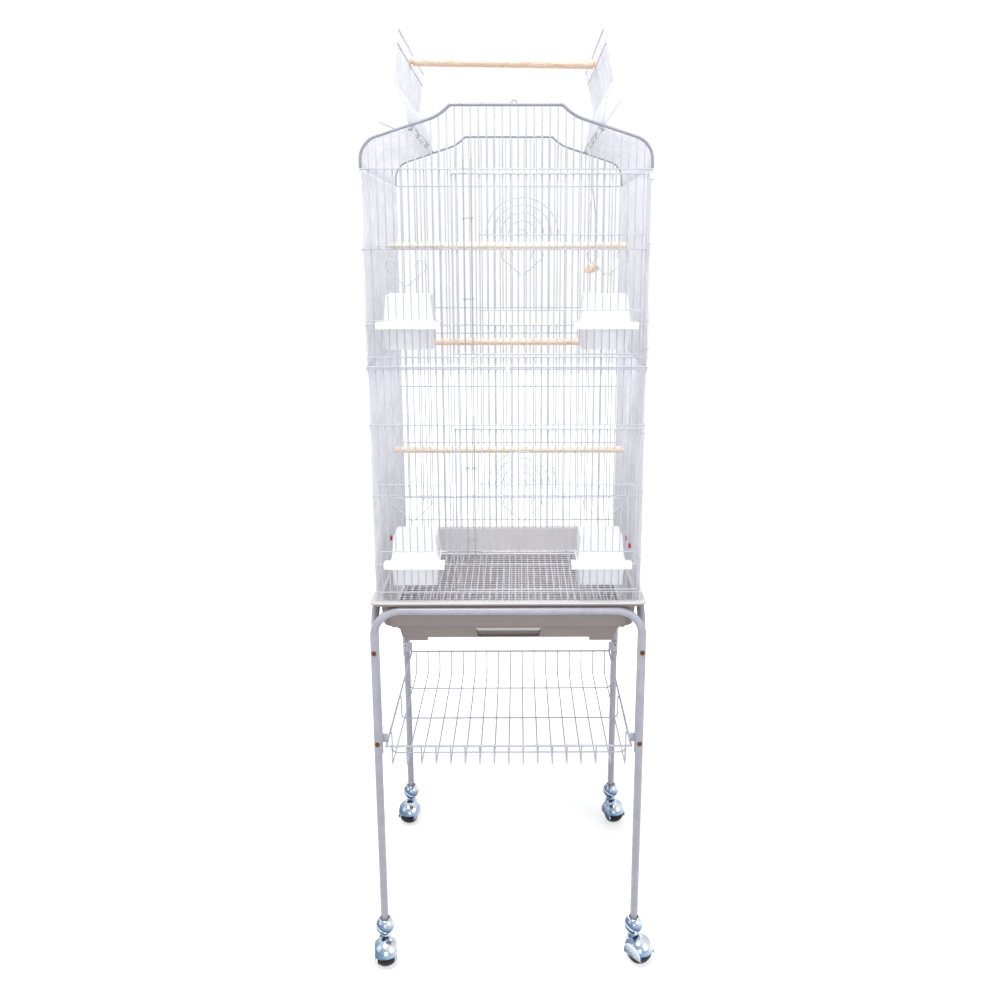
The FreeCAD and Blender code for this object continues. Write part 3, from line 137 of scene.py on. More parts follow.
class NodeBuilder:
    """Shorthand for adding and linking shader nodes in one material."""

    def __init__(self, name: str) -> None:
        """Make an empty node material.

        Args:
            name: Name of the material.
        """
        self.material = bpy.data.materials.new(name)
        self.material.use_nodes = True
        self.tree = self.material.node_tree
        self.tree.nodes.clear()
        self.output = self.add("OutputMaterial")
        self.place = self.add("TexCoord").outputs["Object"]

    def add(self, kind: str, **values: object) -> bpy.types.Node:
        """Add a node by its type without the ShaderNode prefix, with its inputs by name."""
        return add_node(self.tree, "ShaderNode" + kind, values)

    def mapped(self, scale: RGB) -> Socket:
        """Object coordinates, scaled on each axis."""
        return self.add("Mapping", Vector=self.place, Scale=scale).outputs["Vector"]

    def noise(self, scale: float, detail: float = 2.0, vector: Socket | None = None,
              distortion: float = 0.0) -> Socket:
        """A noise value.

        Args:
            scale: Features per metre.
            detail: Octaves.
            vector: Coordinates, if not the plain object ones.
            distortion: Noise distortion.

        Returns:
            The value socket.
        """
        node = self.add("TexNoise", Scale=scale, Detail=detail, Distortion=distortion,
                        Vector=vector or self.place)
        return node.outputs["Fac"]

    def ramp(self, value: Socket, stops: list[tuple[float, RGB]]) -> Socket:
        """A colour ramp.

        Args:
            value: Factor socket.
            stops: Position and RGB of each stop.

        Returns:
            The colour socket.
        """
        node = self.add("ValToRGB", Fac=value)
        elements = node.color_ramp.elements
        while len(elements) < len(stops):
            elements.new(0.5)
        for element, (position, colour) in zip(elements, stops):
            element.position = position
            element.color = (*colour, 1.0)
        return node.outputs["Color"]

    def mottled(self, value: Socket, colour: RGB, dark: float, light: float,
                ends: tuple[float, float]) -> Socket:
        """A colour that drifts between a darker and a lighter shade of itself.

        Args:
            value: Factor socket.
            colour: Linear RGB.
            dark: Multiplier of the darker shade.
            light: Multiplier of the lighter shade.
            ends: Factors at which each shade is reached.

        Returns:
            The colour socket.
        """
        return self.ramp(value, list(zip(ends, (shade(colour, dark), shade(colour, light)))))

    def spread(self, value: Socket, low: float, high: float) -> Socket:
        """A 0 to 1 value brought to a range."""
        return self.add("MapRange", Value=value, To_Min=low, To_Max=high).outputs["Result"]

    def bump(self, height: Socket, distance: float, strength: float) -> Socket:
        """A normal with a relief of a height in metres."""
        return self.add("Bump", Height=height, Distance=distance,
                        Strength=strength).outputs["Normal"]

    def finish(self, shader: Socket) -> bpy.types.Material:
        """Link the shader to the output and give the material."""
        self.tree.links.new(shader, self.output.inputs["Surface"])
        return self.material


def shade(colour: RGB, factor: float) -> RGB:
    """A linear RGB made lighter or darker by a factor."""
    return tuple(min(1.0, channel * factor) for channel in colour)


@dataclass(frozen=True)
class PowderCoat:
    """Sprayed and baked coat on wire or tube: a soft gloss with a fine orange peel."""

    name: str
    colour: RGB
    roughness: float = 0.36
    peel: float = 0.00004

    def material(self) -> bpy.types.Material:
        """Build the material.

        Returns:
            The material.
        """
        nodes = NodeBuilder(self.name)
        patches = nodes.noise(scale=38.0, detail=3.0)
        peel = nodes.noise(scale=1400.0, detail=1.0)
        rub = nodes.noise(scale=160.0)
        shader = nodes.add(
            "BsdfPrincipled", Coat_Weight=0.25, Coat_Roughness=0.25,
            Base_Color=nodes.mottled(patches, self.colour, dark=0.9, light=1.06, ends=(0.3, 0.7)),
            Roughness=nodes.spread(rub, self.roughness - 0.07, self.roughness + 0.09),
            Normal=nodes.bump(peel, self.peel, strength=0.6))
        return nodes.finish(shader.outputs["BSDF"])


@dataclass(frozen=True)
class MouldedPlastic:
    """Injection moulded plastic with a fine spark texture."""

    name: str
    colour: RGB
    roughness: float = 0.45
    grain: float = 0.00005
    glow: float = 0.0
    gloss: float = 0.5
    glow_depth: float = 0.004

    def material(self) -> bpy.types.Material:
        """Build the material.

        Returns:
            The material.
        """
        nodes = NodeBuilder(self.name)
        flow = nodes.noise(scale=12.0, detail=4.0, distortion=0.6)
        sparks = nodes.noise(scale=2200.0)
        rub = nodes.noise(scale=90.0)
        shader = nodes.add(
            "BsdfPrincipled", Specular_IOR_Level=self.gloss,
            Base_Color=nodes.mottled(flow, self.colour, dark=0.95, light=1.04, ends=(0.25, 0.75)),
            Roughness=nodes.spread(rub, self.roughness - 0.06, self.roughness + 0.08),
            Normal=nodes.bump(sparks, self.grain, strength=0.5))
        if self.glow:
            shader.inputs["Subsurface Weight"].default_value = self.glow
            shader.inputs["Subsurface Radius"].default_value = (self.glow_depth,) * 3
        return nodes.finish(shader.outputs["BSDF"])


@dataclass(frozen=True)
class BareMetal:
    """Plated or bare metal, faintly streaked."""

    name: str
    colour: RGB
    roughness: float

    def material(self) -> bpy.types.Material:
        """Build the material.

        Returns:
            The material.
        """
        nodes = NodeBuilder(self.name)
        haze = nodes.noise(scale=60.0, detail=3.0)
        streaks = nodes.noise(scale=240.0, detail=3.0)
        scratches = nodes.noise(scale=700.0)
        shader = nodes.add(
            "BsdfPrincipled", Metallic=1.0,
            Base_Color=nodes.mottled(haze, self.colour, dark=0.88, light=1.0, ends=(0.3, 0.7)),
            Roughness=nodes.spread(streaks, self.roughness * 0.7, self.roughness * 1.5),
            Normal=nodes.bump(scratches, 0.00002, strength=0.4))
        return nodes.finish(shader.outputs["BSDF"])


@dataclass(frozen=True)
class BrightPlate:
    """Bright chrome on steel with painted reflections: dark and light bands that follow the turn of the
    surface.
    """

    name: str
    roughness: float
    lean: float = 0.55
    reach: tuple[float, float] = (-1.05, 1.3)
    # Painted reflections: dark bands stand in for dark surroundings and light bands for highlights, set
    # by which way each face points.
    bands: tuple[tuple[float, RGB], ...] = (
        (0.0, (0.02, 0.03, 0.06)), (0.24, (0.05, 0.09, 0.15)), (0.34, (0.72, 0.77, 0.83)),
        (0.41, (0.06, 0.11, 0.19)), (0.56, (0.17, 0.25, 0.36)), (0.72, (0.36, 0.45, 0.57)),
        (0.86, (0.80, 0.84, 0.90)), (1.0, (0.34, 0.42, 0.53)))

    def material(self) -> bpy.types.Material:
        """Build the material: the painted reflection bands run from downward and left faces to upward and
        right ones.

        Returns:
            The material.
        """
        nodes = NodeBuilder(self.name)
        facing = nodes.add("TexCoord").outputs["Normal"]
        parts = nodes.add("SeparateXYZ", Vector=facing).outputs
        height = add_math(nodes.tree, "MULTIPLY_ADD", parts["X"], self.lean, parts["Z"])
        low, high = self.reach
        share = nodes.add("MapRange", Value=height, From_Min=low, From_Max=high).outputs["Result"]
        streaks = nodes.noise(scale=240.0, detail=3.0)
        scratches = nodes.noise(scale=700.0)
        shader = nodes.add(
            "BsdfPrincipled", Metallic=1.0, Base_Color=nodes.ramp(share, self.bands),
            Roughness=nodes.spread(streaks, self.roughness * 0.7, self.roughness * 1.5),
            Normal=nodes.bump(scratches, 0.00001, strength=0.3))
        return nodes.finish(shader.outputs["BSDF"])


class Grain(Enum):
    """Scale of the wood's texture on each axis: small along the grain of a rod."""

    ACROSS = (1.1, 9.0, 9.0)
    DEEP = (9.0, 1.1, 9.0)


class Timber(Enum):
    """Colours of a board's wood, from early wood to knots."""

    PALE = ((0.95, 0.89, 0.81), (0.93, 0.84, 0.73), (0.90, 0.74, 0.58), (0.80, 0.58, 0.42))
    ROSY = ((0.96, 0.86, 0.76), (0.94, 0.74, 0.60), (0.88, 0.58, 0.43), (0.68, 0.36, 0.24))


@dataclass(frozen=True)
class PineWood:
    """Turned pine with long orange grain lines, darker late wood and small knots."""

    name: str
    grain: Grain
    timber: Timber
    stops: tuple[float, ...] = (0.28, 0.46, 0.62, 0.82)
    pore: RGB = (0.92, 0.87, 0.82)
    pore_share: float = 0.7
    roughness: float = 0.62

    def material(self) -> bpy.types.Material:
        """Build the material.

        Returns:
            The material.
        """
        nodes = NodeBuilder(self.name)
        along = nodes.mapped(self.grain.value)
        streaks = nodes.noise(scale=42.0, detail=5.0, vector=along, distortion=1.3)
        fibres = nodes.noise(scale=260.0, detail=3.0, vector=along)
        wood = nodes.ramp(streaks, list(zip(self.stops, self.timber.value)))
        fine = nodes.ramp(fibres, [(0.35, self.pore), (0.6, (1.0, 1.0, 1.0))])
        mixed = nodes.add("Mix", data_type="RGBA", blend_type="MULTIPLY")
        factor, first, second = mixed.inputs[0], mixed.inputs[6], mixed.inputs[7]
        factor.default_value = self.pore_share
        nodes.tree.links.new(wood, first)
        nodes.tree.links.new(fine, second)
        shader = nodes.add("BsdfPrincipled", Base_Color=mixed.outputs[2], Roughness=self.roughness,
                           Normal=nodes.bump(fibres, 0.0001, strength=0.5))
        return nodes.finish(shader.outputs["BSDF"])


@dataclass(frozen=True)
class StudioWhite:
    """White sweep: takes soft shadows near the cage and turns plain white away from it."""

    name: str
    colour: RGB
    lift: float
    far_lift: float
    near: float
    far: float

    def material(self) -> bpy.types.Material:
        """Build the material.

        Returns:
            The material.
        """
        nodes = NodeBuilder(self.name)
        reach = nodes.add("VectorMath", operation="LENGTH", Vector=nodes.place).outputs["Value"]
        lift = nodes.add("MapRange", interpolation_type="SMOOTHSTEP", Value=reach,
                         From_Min=self.near, From_Max=self.far, To_Min=self.lift,
                         To_Max=self.far_lift).outputs["Result"]
        power = add_math(nodes.tree, "MULTIPLY", seen_plainly(nodes.tree), lift)
        glow = nodes.add("Emission", Strength=power)
        paint = nodes.add("BsdfDiffuse", Color=(*self.colour, 1.0))
        both = nodes.add("AddShader")
        nodes.tree.links.new(glow.outputs[0], both.inputs[0])
        nodes.tree.links.new(paint.outputs[0], both.inputs[1])
        return nodes.finish(both.outputs[0])


class Finish(Enum):
    """Every finish on the cage."""

    WIRE = PowderCoat("wire_spray_coat", (0.57, 0.575, 0.635), roughness=0.3)
    # Lighter copy of the wire coat, painted light: side walls, roof slopes, play top bars and floor
    # grille are drawn brighter than the front wires.
    WIRE_PAINTED_LIGHT = PowderCoat("wire_coat_painted_light", (0.83, 0.83, 0.88))
    ROD = PowderCoat("rod_spray_coat", (0.40, 0.40, 0.46), roughness=0.3)
    # Darker copy of the wire coat for the arches: painted dark reflection.
    ARCH_PAINTED_DARK = PowderCoat("arch_coat_painted_dark", (0.31, 0.315, 0.39), roughness=0.28)
    TUBE = PowderCoat("tube_spray_coat", (0.40, 0.395, 0.465), roughness=0.24)
    BASKET = PowderCoat("basket_spray_coat", (0.50, 0.50, 0.58), roughness=0.34)
    # One base plastic in two copies: the darker one paints shade on the outer walls, runners and tray,
    # the paler one paints light on the rim top and the inner walls.
    BASE = MouldedPlastic("moulded_base_painted_shade", (0.285, 0.246, 0.228))
    BASE_PAINTED_LIGHT = MouldedPlastic("moulded_base_painted_light", (0.60, 0.59, 0.60), roughness=0.4)
    FEEDER = MouldedPlastic("moulded_feeder", (0.94, 0.94, 0.955), roughness=0.32, grain=0.00002,
                            glow=0.1)
    RED = MouldedPlastic("moulded_clip", (0.55, 0.012, 0.03), roughness=0.35)
    BLACK = MouldedPlastic("moulded_wheel", (0.012, 0.010, 0.010), roughness=0.4, gloss=0.15)
    COPPER = BareMetal("bolt_copper", (0.14, 0.062, 0.03), roughness=0.25)
    STEEL = BareMetal("zinc_nut", (0.55, 0.55, 0.57), roughness=0.32)
    CHROME = BrightPlate("chrome_painted_reflections", roughness=0.1)
    PINE_ACROSS = PineWood("pine_across", Grain.ACROSS, Timber.PALE)
    PINE_DEEP = PineWood("pine_deep", Grain.DEEP, Timber.ROSY)
    PINE_TOP = PineWood("pine_top", Grain.ACROSS, Timber.ROSY)
    SWEEP = StudioWhite("studio_sweep", (0.72, 0.72, 0.72), lift=0.56, far_lift=1.0, near=0.5,
                        far=1.3)

    def made(self) -> bpy.types.Material:
        """The material of this finish, built the first time it is asked for."""
        known = bpy.data.materials.get(self.value.name)
        return known or self.value.material()


# ---------------------------------------------------------------- geometry node trees

LEAST_BEAD = 1e-6
RECESS_ARMS = ((1.0, 0.7, 0.24), (0.24, 0.7, 1.0))


class TreeBuilder:
    """A geometry node tree with named inputs, and the means to put it on an object."""

    def __init__(self, name: str, inputs: dict[str, str]) -> None:
        """Make the tree with a geometry input and output.

        Args:
            name: Name of the tree.
            inputs: Socket type of each named input.
        """
        self.tree = bpy.data.node_groups.new(name, "GeometryNodeTree")
        face = self.tree.interface
        face.new_socket("Geometry", in_out="INPUT", socket_type="NodeSocketGeometry")
        face.new_socket("Geometry", in_out="OUTPUT", socket_type="NodeSocketGeometry")
        self.sockets = {}
        for label, kind in inputs.items():
            socket = face.new_socket(label, in_out="INPUT", socket_type="NodeSocket" + kind)
            self.sockets[label] = socket.identifier
        self.start = self.tree.nodes.new("NodeGroupInput")
        self.end = self.tree.nodes.new("NodeGroupOutput")

    def add(self, kind: str, **values: object) -> bpy.types.Node:
        """Add a node by its full type, with its properties and inputs by name."""
        return add_node(self.tree, kind, values)

    def attribute(self, name: str) -> Socket:
        """A named float attribute of the input geometry."""
        node = self.add("GeometryNodeInputNamedAttribute", data_type="FLOAT", Name=name)
        return node.outputs["Attribute"]

    def round_wire(self, sides: Socket, radius: Socket) -> Socket:
        """Turn the input's edges into round wire with closed ends.

        Args:
            sides: Sides of the section.
            radius: Radius of the wire.

        Returns:
            The mesh socket.
        """
        lines = self.add("GeometryNodeMeshToCurve", Mesh=self.start.outputs["Geometry"])
        section = self.add("GeometryNodeCurvePrimitiveCircle", Resolution=sides, Radius=1.0)
        wire = self.add("GeometryNodeCurveToMesh", Profile_Curve=section.outputs["Curve"],
                        Fill_Caps=True)
        source = lines.outputs["Curve"]
        if "Scale" in wire.inputs:
            self.tree.links.new(radius, wire.inputs["Scale"])
        else:
            sized = self.add("GeometryNodeSetCurveRadius", Curve=source, Radius=radius)
            source = sized.outputs["Curve"]
        self.tree.links.new(source, wire.inputs["Curve"])
        return wire.outputs["Mesh"]

    def close(self, geometry: Socket) -> None:
        """Realize, smooth and dress the geometry, and end the tree.

        Args:
            geometry: Geometry socket.
        """
        real = self.add("GeometryNodeRealizeInstances", Geometry=geometry)
        smooth = self.add("GeometryNodeSetShadeSmooth", Geometry=real.outputs["Geometry"])
        coated = self.add("GeometryNodeSetMaterial", Geometry=smooth.outputs["Geometry"],
                          Material=self.start.outputs["Material"])
        self.tree.links.new(coated.outputs["Geometry"], self.end.inputs["Geometry"])

    def put_on(self, piece: Piece, **values: object) -> Piece:
        """Run the tree on a piece and keep the result as its plain mesh.

        Args:
            piece: Object whose mesh is the tree's input.
            values: Value of each named input.

        Returns:
            The piece.
        """
        modifier = piece.modifiers.new("shape", "NODES")
        modifier.node_group = self.tree
        for label, value in values.items():
            modifier[self.sockets[label]] = value
        return settle(piece)


def settle(piece: Piece) -> Piece:
    """Turn what an object's modifiers give into its plain mesh.

    Args:
        piece: The object.

    Returns:
        The same object, without modifiers.
    """
    bpy.context.view_layer.update()
    shown = piece.evaluated_get(bpy.context.evaluated_depsgraph_get())
    mesh = bpy.data.meshes.new_from_object(shown)
    piece.modifiers.clear()
    old, piece.data = piece.data, mesh
    bpy.data.meshes.remove(old)
    return piece


@cache
def drawn_wire_tree() -> TreeBuilder:
    """Tree that draws round wires along edges and puts a weld bead on each marked point.

    Returns:
        The tree.
    """
    tree = TreeBuilder("drawn_wire", {"Sides": "Int", "Material": "Material"})
    wire = tree.round_wire(tree.start.outputs["Sides"], tree.attribute("wire_radius"))
    size = tree.attribute("bead_radius")
    marked = tree.add("FunctionNodeCompare", data_type="FLOAT", operation="GREATER_THAN", A=size,
                      B=LEAST_BEAD)
    bead = tree.add("GeometryNodeMeshUVSphere", Segments=7, Rings=5, Radius=1.0)
    beads = tree.add("GeometryNodeInstanceOnPoints", Points=tree.start.outputs["Geometry"],
                     Selection=marked.outputs["Result"], Instance=bead.outputs["Mesh"], Scale=size)
    both = tree.add("GeometryNodeJoinGeometry")
    tree.tree.links.new(beads.outputs["Instances"], both.inputs["Geometry"])
    tree.tree.links.new(wire, both.inputs["Geometry"])
    tree.close(both.outputs["Geometry"])
    return tree


@cache
def wire_row_tree() -> TreeBuilder:
    """Tree that draws one bent wire and repeats it at an even pitch.

    Returns:
        The tree.
    """
    tree = TreeBuilder("wire_row", {"Sides": "Int", "Count": "Int", "Pitch": "Vector",
                                    "Material": "Material"})
    wire = tree.round_wire(tree.start.outputs["Sides"], tree.attribute("wire_radius"))
    places = tree.add("GeometryNodeMeshLine", Count=tree.start.outputs["Count"],
                      Offset=tree.start.outputs["Pitch"])
    row = tree.add("GeometryNodeInstanceOnPoints", Points=places.outputs["Mesh"], Instance=wire)
    tree.close(row.outputs["Instances"])
    return tree


@cache
def bolt_head_tree() -> TreeBuilder:
    """Tree that sets a round bolt head with a cross recess on every point.

    Returns:
        The tree.
    """
    tree = TreeBuilder("bolt_heads", {"Head Radius": "Float", "Head Height": "Float",
                                      "Material": "Material"})
    ball = tree.add("GeometryNodeMeshUVSphere", Segments=24, Rings=14, Radius=1.0)
    head = tree.add("GeometryNodeMeshBoolean", operation="DIFFERENCE")
    tree.tree.links.new(ball.outputs["Mesh"], head.inputs[0])
    for side in (-1.0, 1.0):
        for arms in RECESS_ARMS:
            slot = tree.add("GeometryNodeMeshCube", Size=arms)
            moved = tree.add("GeometryNodeTransform", Geometry=slot.outputs["Mesh"],
                             Translation=(0.0, side, 0.0))
            tree.tree.links.new(moved.outputs["Geometry"], head.inputs[1])
    size = tree.add("ShaderNodeCombineXYZ", X=tree.start.outputs["Head Radius"],
                    Y=tree.start.outputs["Head Height"], Z=tree.start.outputs["Head Radius"])
    heads = tree.add("GeometryNodeInstanceOnPoints", Points=tree.start.outputs["Geometry"],
                     Instance=head.outputs["Mesh"], Scale=size.outputs["Vector"])
    tree.close(heads.outputs["Instances"])
    return tree


# ---------------------------------------------------------------- shared mesh work

def new_piece(name: str, mesh: bpy.types.Mesh) -> Piece:
    """Link a mesh into the scene as an object at the origin.

    Args:
        name: Name of the object.
        mesh: Its mesh.

    Returns:
        The new object.
    """
    piece = bpy.data.objects.new(name, mesh)
    bpy.context.scene.collection.objects.link(piece)
    return piece


def discard(piece: Piece) -> None:
    """Remove an object and its mesh.

    Args:
        piece: The object.
    """
    mesh = piece.data
    bpy.data.objects.remove(piece)
    bpy.data.meshes.remove(mesh)


def present(piece: Piece, body: str, slot: str, *nodes: str) -> None:
    """Hand a finished piece to the frame and report it.

    Args:
        piece: The finished object.
        body: Body that it moves with.
        slot: Material slot of the record; not used.
        nodes: CAD nodes that it stands for.
    """
    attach(piece, body)
    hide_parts(*nodes)
    LOG.info("%s: %d faces, on %s", piece.name, len(piece.data.polygons), body)


def joined(name: str, pieces: list[Piece]) -> Piece:
    """Join several dressed objects into one.

    Args:
        name: Name of the joined piece.
        pieces: Objects at the origin, with materials.

    Returns:
        The joined object.
    """
    materials: list[bpy.types.Material] = []
    work = bmesh.new()
    for piece in pieces:
        slots = []
        for material in piece.data.materials:
            if material not in materials:
                materials.append(material)
            slots.append(materials.index(material))
        first = len(work.faces)
        work.from_mesh(piece.data)
        work.faces.ensure_lookup_table()
        for face in work.faces[first:]:
            face.material_index = slots[min(face.material_index, len(slots) - 1)]
    mesh = bpy.data.meshes.new(name)
    work.to_mesh(mesh)
    work.free()
    for material in materials:
        mesh.materials.append(material)
    for piece in pieces:
        discard(piece)
    return new_piece(name, mesh)


@dataclass(frozen=True)
class Datum:
    """Middle of the cage on the floor, read from the frame, and places counted from it."""

    x: float
    y: float
    rim: float

    @classmethod
    def read(cls) -> "Datum":
        """Find the middle of the wire panels and the top of the base rim.

        Returns:
            The datum.
        """
        rear, side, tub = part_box("rear_panel_lower"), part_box("left_panel_lower"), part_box("base_tub")
        middle_x, middle_y = (rear[0].x + rear[1].x) / 2, (side[0].y + side[1].y) / 2
        return cls(middle_x, middle_y, tub[1].z / MM)

    def at(self, x: float, y: float, z: float) -> Vector:
        """A place in metres.

        Args:
            x: Millimetres to the right of the middle.
            y: Millimetres behind the middle.
            z: Millimetres above the floor.

        Returns:
            The place in the frame.
        """
        return Vector((self.x + x * MM, self.y + y * MM, z * MM))


def edge_mesh(name: str, places: list[Vector], edges: list[tuple[int, int]],
              **measures: list[float]) -> bpy.types.Mesh:
    """A mesh of edges only, with a measure on each corner.

    Args:
        name: Name of the mesh.
        places: Corners.
        edges: Pairs of corners.
        measures: Values of each named float attribute.

    Returns:
        The mesh.
    """
    mesh = bpy.data.meshes.new(name)
    mesh.from_pydata([tuple(place) for place in places], edges, [])
    for label, values in measures.items():
        mesh.attributes.new(label, "FLOAT", "POINT").data.foreach_set("value", values)
    return mesh


@dataclass
class Wire:
    """A straight round wire."""

    start: Vector
    end: Vector
    radius: float


@dataclass
class WireWork:
    """Centre lines of round wires, with the weld beads where they cross.

    The trim says how a wire's end is rounded: distance from the end and thickness, in radii.
    """

    trim: Rows = ((0.0, 0.45), (0.22, 0.82), (0.6, 1.0))
    places: list[Vector] = field(default_factory=list)
    edges: list[tuple[int, int]] = field(default_factory=list)
    radii: list[float] = field(default_factory=list)
    beads: list[float] = field(default_factory=list)
    straight: list[Wire] = field(default_factory=list)

    def line(self, points: list[Vector], radius: float, closed: bool = False) -> None:
        """Add a wire along points, with trimmed and rounded ends unless it is closed.

        Args:
            points: Centre line, in metres.
            radius: Wire radius, in metres.
            closed: Whether it is a ring.
        """
        points = [Vector(point) for point in points]
        sizes = [radius] * len(points)
        if not closed:
            head, tail = points[0], points[-1]
            first, last = (points[1] - head).normalized(), (points[-2] - tail).normalized()
            points = ([head + first * radius * far for far, _ in self.trim] + points[1:-1]
                      + [tail + last * radius * far for far, _ in reversed(self.trim)])
            sizes = ([radius * size for _, size in self.trim] + sizes[1:-1]
                     + [radius * size for _, size in reversed(self.trim)])
        base = len(self.places)
        self.places += points
        self.radii += sizes
        self.beads += [0.0] * len(points)
        self.edges += [(base + k, base + k + 1) for k in range(len(points) - 1)]
        if closed:
            self.edges.append((base + len(points) - 1, base))

    def bar(self, start: Vector, end: Vector, radius: float) -> None:
        """Add a straight wire that takes part in the welds."""
        self.straight.append(Wire(Vector(start), Vector(end), radius))
        self.line([start, end], radius)

    def bent(self, corners: list[Vector], bend: float | list[float], radius: float,
             steps: int = 7) -> None:
        """Add a wire with a round bend at each inner corner.

        Args:
            corners: Corners, in metres.
            bend: Bend radius of the centre line, or one for each bend, in metres.
            radius: Wire radius, in metres.
            steps: Points along each bend.
        """
        self.line(rounded_path(corners, bend, steps), radius)

    def ring(self, centre: Vector, axis: Vector, size: float, radius: float,
             steps: int = 14) -> None:
        """Add a closed ring of wire.

        Args:
            centre: Centre of the ring.
            axis: Axis of the ring.
            size: Radius to the middle of the wire.
            radius: Wire radius.
            steps: Points round the ring.
        """
        turn = UP.rotation_difference(Vector(axis)).to_matrix()
        points = []
        for k in range(steps):
            angle = 2 * math.pi * k / steps
            spoke = turn @ Vector((math.cos(angle), math.sin(angle), 0))
            points.append(Vector(centre) + spoke * size)
        self.line(points, radius, True)

    def bead(self, place: Vector, radius: float) -> None:
        """Add a weld bead.

        Args:
            place: Its centre.
            radius: Its radius.
        """
        self.places.append(Vector(place))
        self.radii.append(radius)
        self.beads.append(radius)

    def weld(self, reach: float = 0.0003, size: float = 0.6) -> None:
        """Put a bead wherever two straight wires cross and touch.

        Args:
            reach: Largest gap that a weld bridges, in metres.
            size: Bead radius as a share of both wires' radii together.
        """
        for index, one in enumerate(self.straight):
            for other in self.straight[:index]:
                self.weld_pair(one, other, reach, size)

    def weld_pair(self, one: Wire, other: Wire, reach: float, size: float) -> None:
        """Put a bead where two wires touch, if they do.

        Args:
            one: The first wire.
            other: The second wire.
            reach: Largest gap that a weld bridges, in metres.
            size: Bead radius as a share of both wires' radii together.
        """
        met = intersect_line_line(one.start, one.end, other.start, other.end)
        if met is None:
            return
        near, far = met
        if (near - far).length > one.radius + other.radius + reach:
            return
        for wire, place in ((one, near), (other, far)):
            along = wire.end - wire.start
            share = (place - wire.start).dot(along) / along.length_squared
            slack = 2 * wire.radius / along.length
            if share < -slack or share > 1 + slack:
                return
        self.bead((near + far) / 2, size * (one.radius + other.radius))

    def trace(self, node: str, only_deep: bool = False) -> list[tuple[Vector, Vector]]:
        """Take over the straight wires of a CAD node.

        Args:
            node: Node name.
            only_deep: Whether to take only the wires that run from front to rear.

        Returns:
            Lowest and highest corner of each part of the node that isn't a straight wire.
        """
        rest = []
        for points in loose_parts(bpy.data.objects[node].data):
            wire = as_wire(points)
            if wire is None:
                rest.append((Vector(points.min(0)), Vector(points.max(0))))
                continue
            run = wire.end - wire.start
            if not only_deep or abs(run.y) > run.length / 2:
                self.bar(wire.start, wire.end, wire.radius)
        return rest

    def draw(self, name: str, finish: Finish, sides: int = 10) -> Piece:
        """Draw all wires and beads as one mesh.

        Args:
            name: Name of the piece.
            finish: Finish of the wires.
            sides: Sides of a wire's section.

        Returns:
            The drawn object.
        """
        mesh = edge_mesh(name, self.places, self.edges, wire_radius=self.radii,
                         bead_radius=self.beads)
        piece = drawn_wire_tree().put_on(new_piece(name, mesh), Sides=sides,
                                         Material=finish.made())
        for label in ("wire_radius", "bead_radius"):
            known = piece.data.attributes.get(label)
            if known is not None:
                piece.data.attributes.remove(known)
        return piece

    def draw_row(self, name: str, finish: Finish, count: int, pitch: float) -> Piece:
        """Draw the wires once and repeat them from front to rear.

        Args:
            name: Name of the piece.
            finish: Finish of the wires.
            count: How many there are.
            pitch: Distance from one to the next, in metres.

        Returns:
            The drawn object.
        """
        mesh = edge_mesh(name, self.places, self.edges, wire_radius=self.radii)
        return wire_row_tree().put_on(new_piece(name, mesh), Sides=8, Count=count,
                                      Pitch=(0.0, pitch, 0.0), Material=finish.made())


def rounded_path(corners: list[Vector], bend: float | list[float], steps: int = 7) -> list[Vector]:
    """Points along straight runs joined by round bends.

    Args:
        corners: Corners of the path.
        bend: Radius of every bend, or of each.
        steps: Points along each bend.

    Returns:
        The points.
    """
    corners = [Vector(corner) for corner in corners]
    bends = bend if isinstance(bend, list) else [bend] * (len(corners) - 2)
    points = [corners[0]]
    for before, corner, after, bend in zip(corners, corners[1:], corners[2:], bends):
        inward, outward = (before - corner).normalized(), (after - corner).normalized()
        half = (math.pi - inward.angle(outward)) / 2
        if half < 1e-4:
            continue
        middle = corner + (inward + outward).normalized() * bend / math.cos(half)
        first = corner + inward * bend * math.tan(half) - middle
        axis = inward.cross(outward).normalized()
        for k in range(steps):
            turn = Matrix.Rotation(-2 * half * k / (steps - 1), 3, axis)
            points.append(middle + turn @ first)
    return points + [corners[-1]]


def loose_parts(mesh: bpy.types.Mesh) -> list[np.ndarray]:
    """Corner points of each loose part of a mesh.

    Args:
        mesh: Mesh whose faces may not share corners.

    Returns:
        One array of points for each part.
    """
    work = bmesh.new()
    work.from_mesh(mesh)
    bmesh.ops.remove_doubles(work, verts=work.verts, dist=0.002 * MM)
    seen: set[int] = set()
    work.verts.index_update()
    parts = []
    for start in work.verts:
        if start.index in seen:
            continue
        seen.add(start.index)
        stack, points = [start], []
        while stack:
            corner = stack.pop()
            points.append(tuple(corner.co))
            for edge in corner.link_edges:
                other = edge.other_vert(corner)
                if other.index not in seen:
                    seen.add(other.index)
                    stack.append(other)
        parts.append(np.array(points))
    work.free()
    return parts


def as_wire(points: np.ndarray) -> Wire | None:
    """The straight round wire that a loose part is, if it is one.

    Args:
        points: Corner points of the part.

    Returns:
        The wire, or nothing.
    """
    centre = points.mean(0)
    axis = np.linalg.svd(points - centre, full_matrices=False)[2][0]
    along = (points - centre) @ axis
    away = np.linalg.norm(points - centre - np.outer(along, axis), axis=1)
    radius = float(away.max())
    if away.min() < 0.96 * radius or np.ptp(along) < 3 * radius:
        return None
    return Wire(Vector(centre + axis * along.min()), Vector(centre + axis * along.max()), radius)


@dataclass(frozen=True)
class Section:
    """A level outline of a moulded piece: a rectangle with round corners."""

    half_x: float
    half_y: float
    corner: float
    z: float


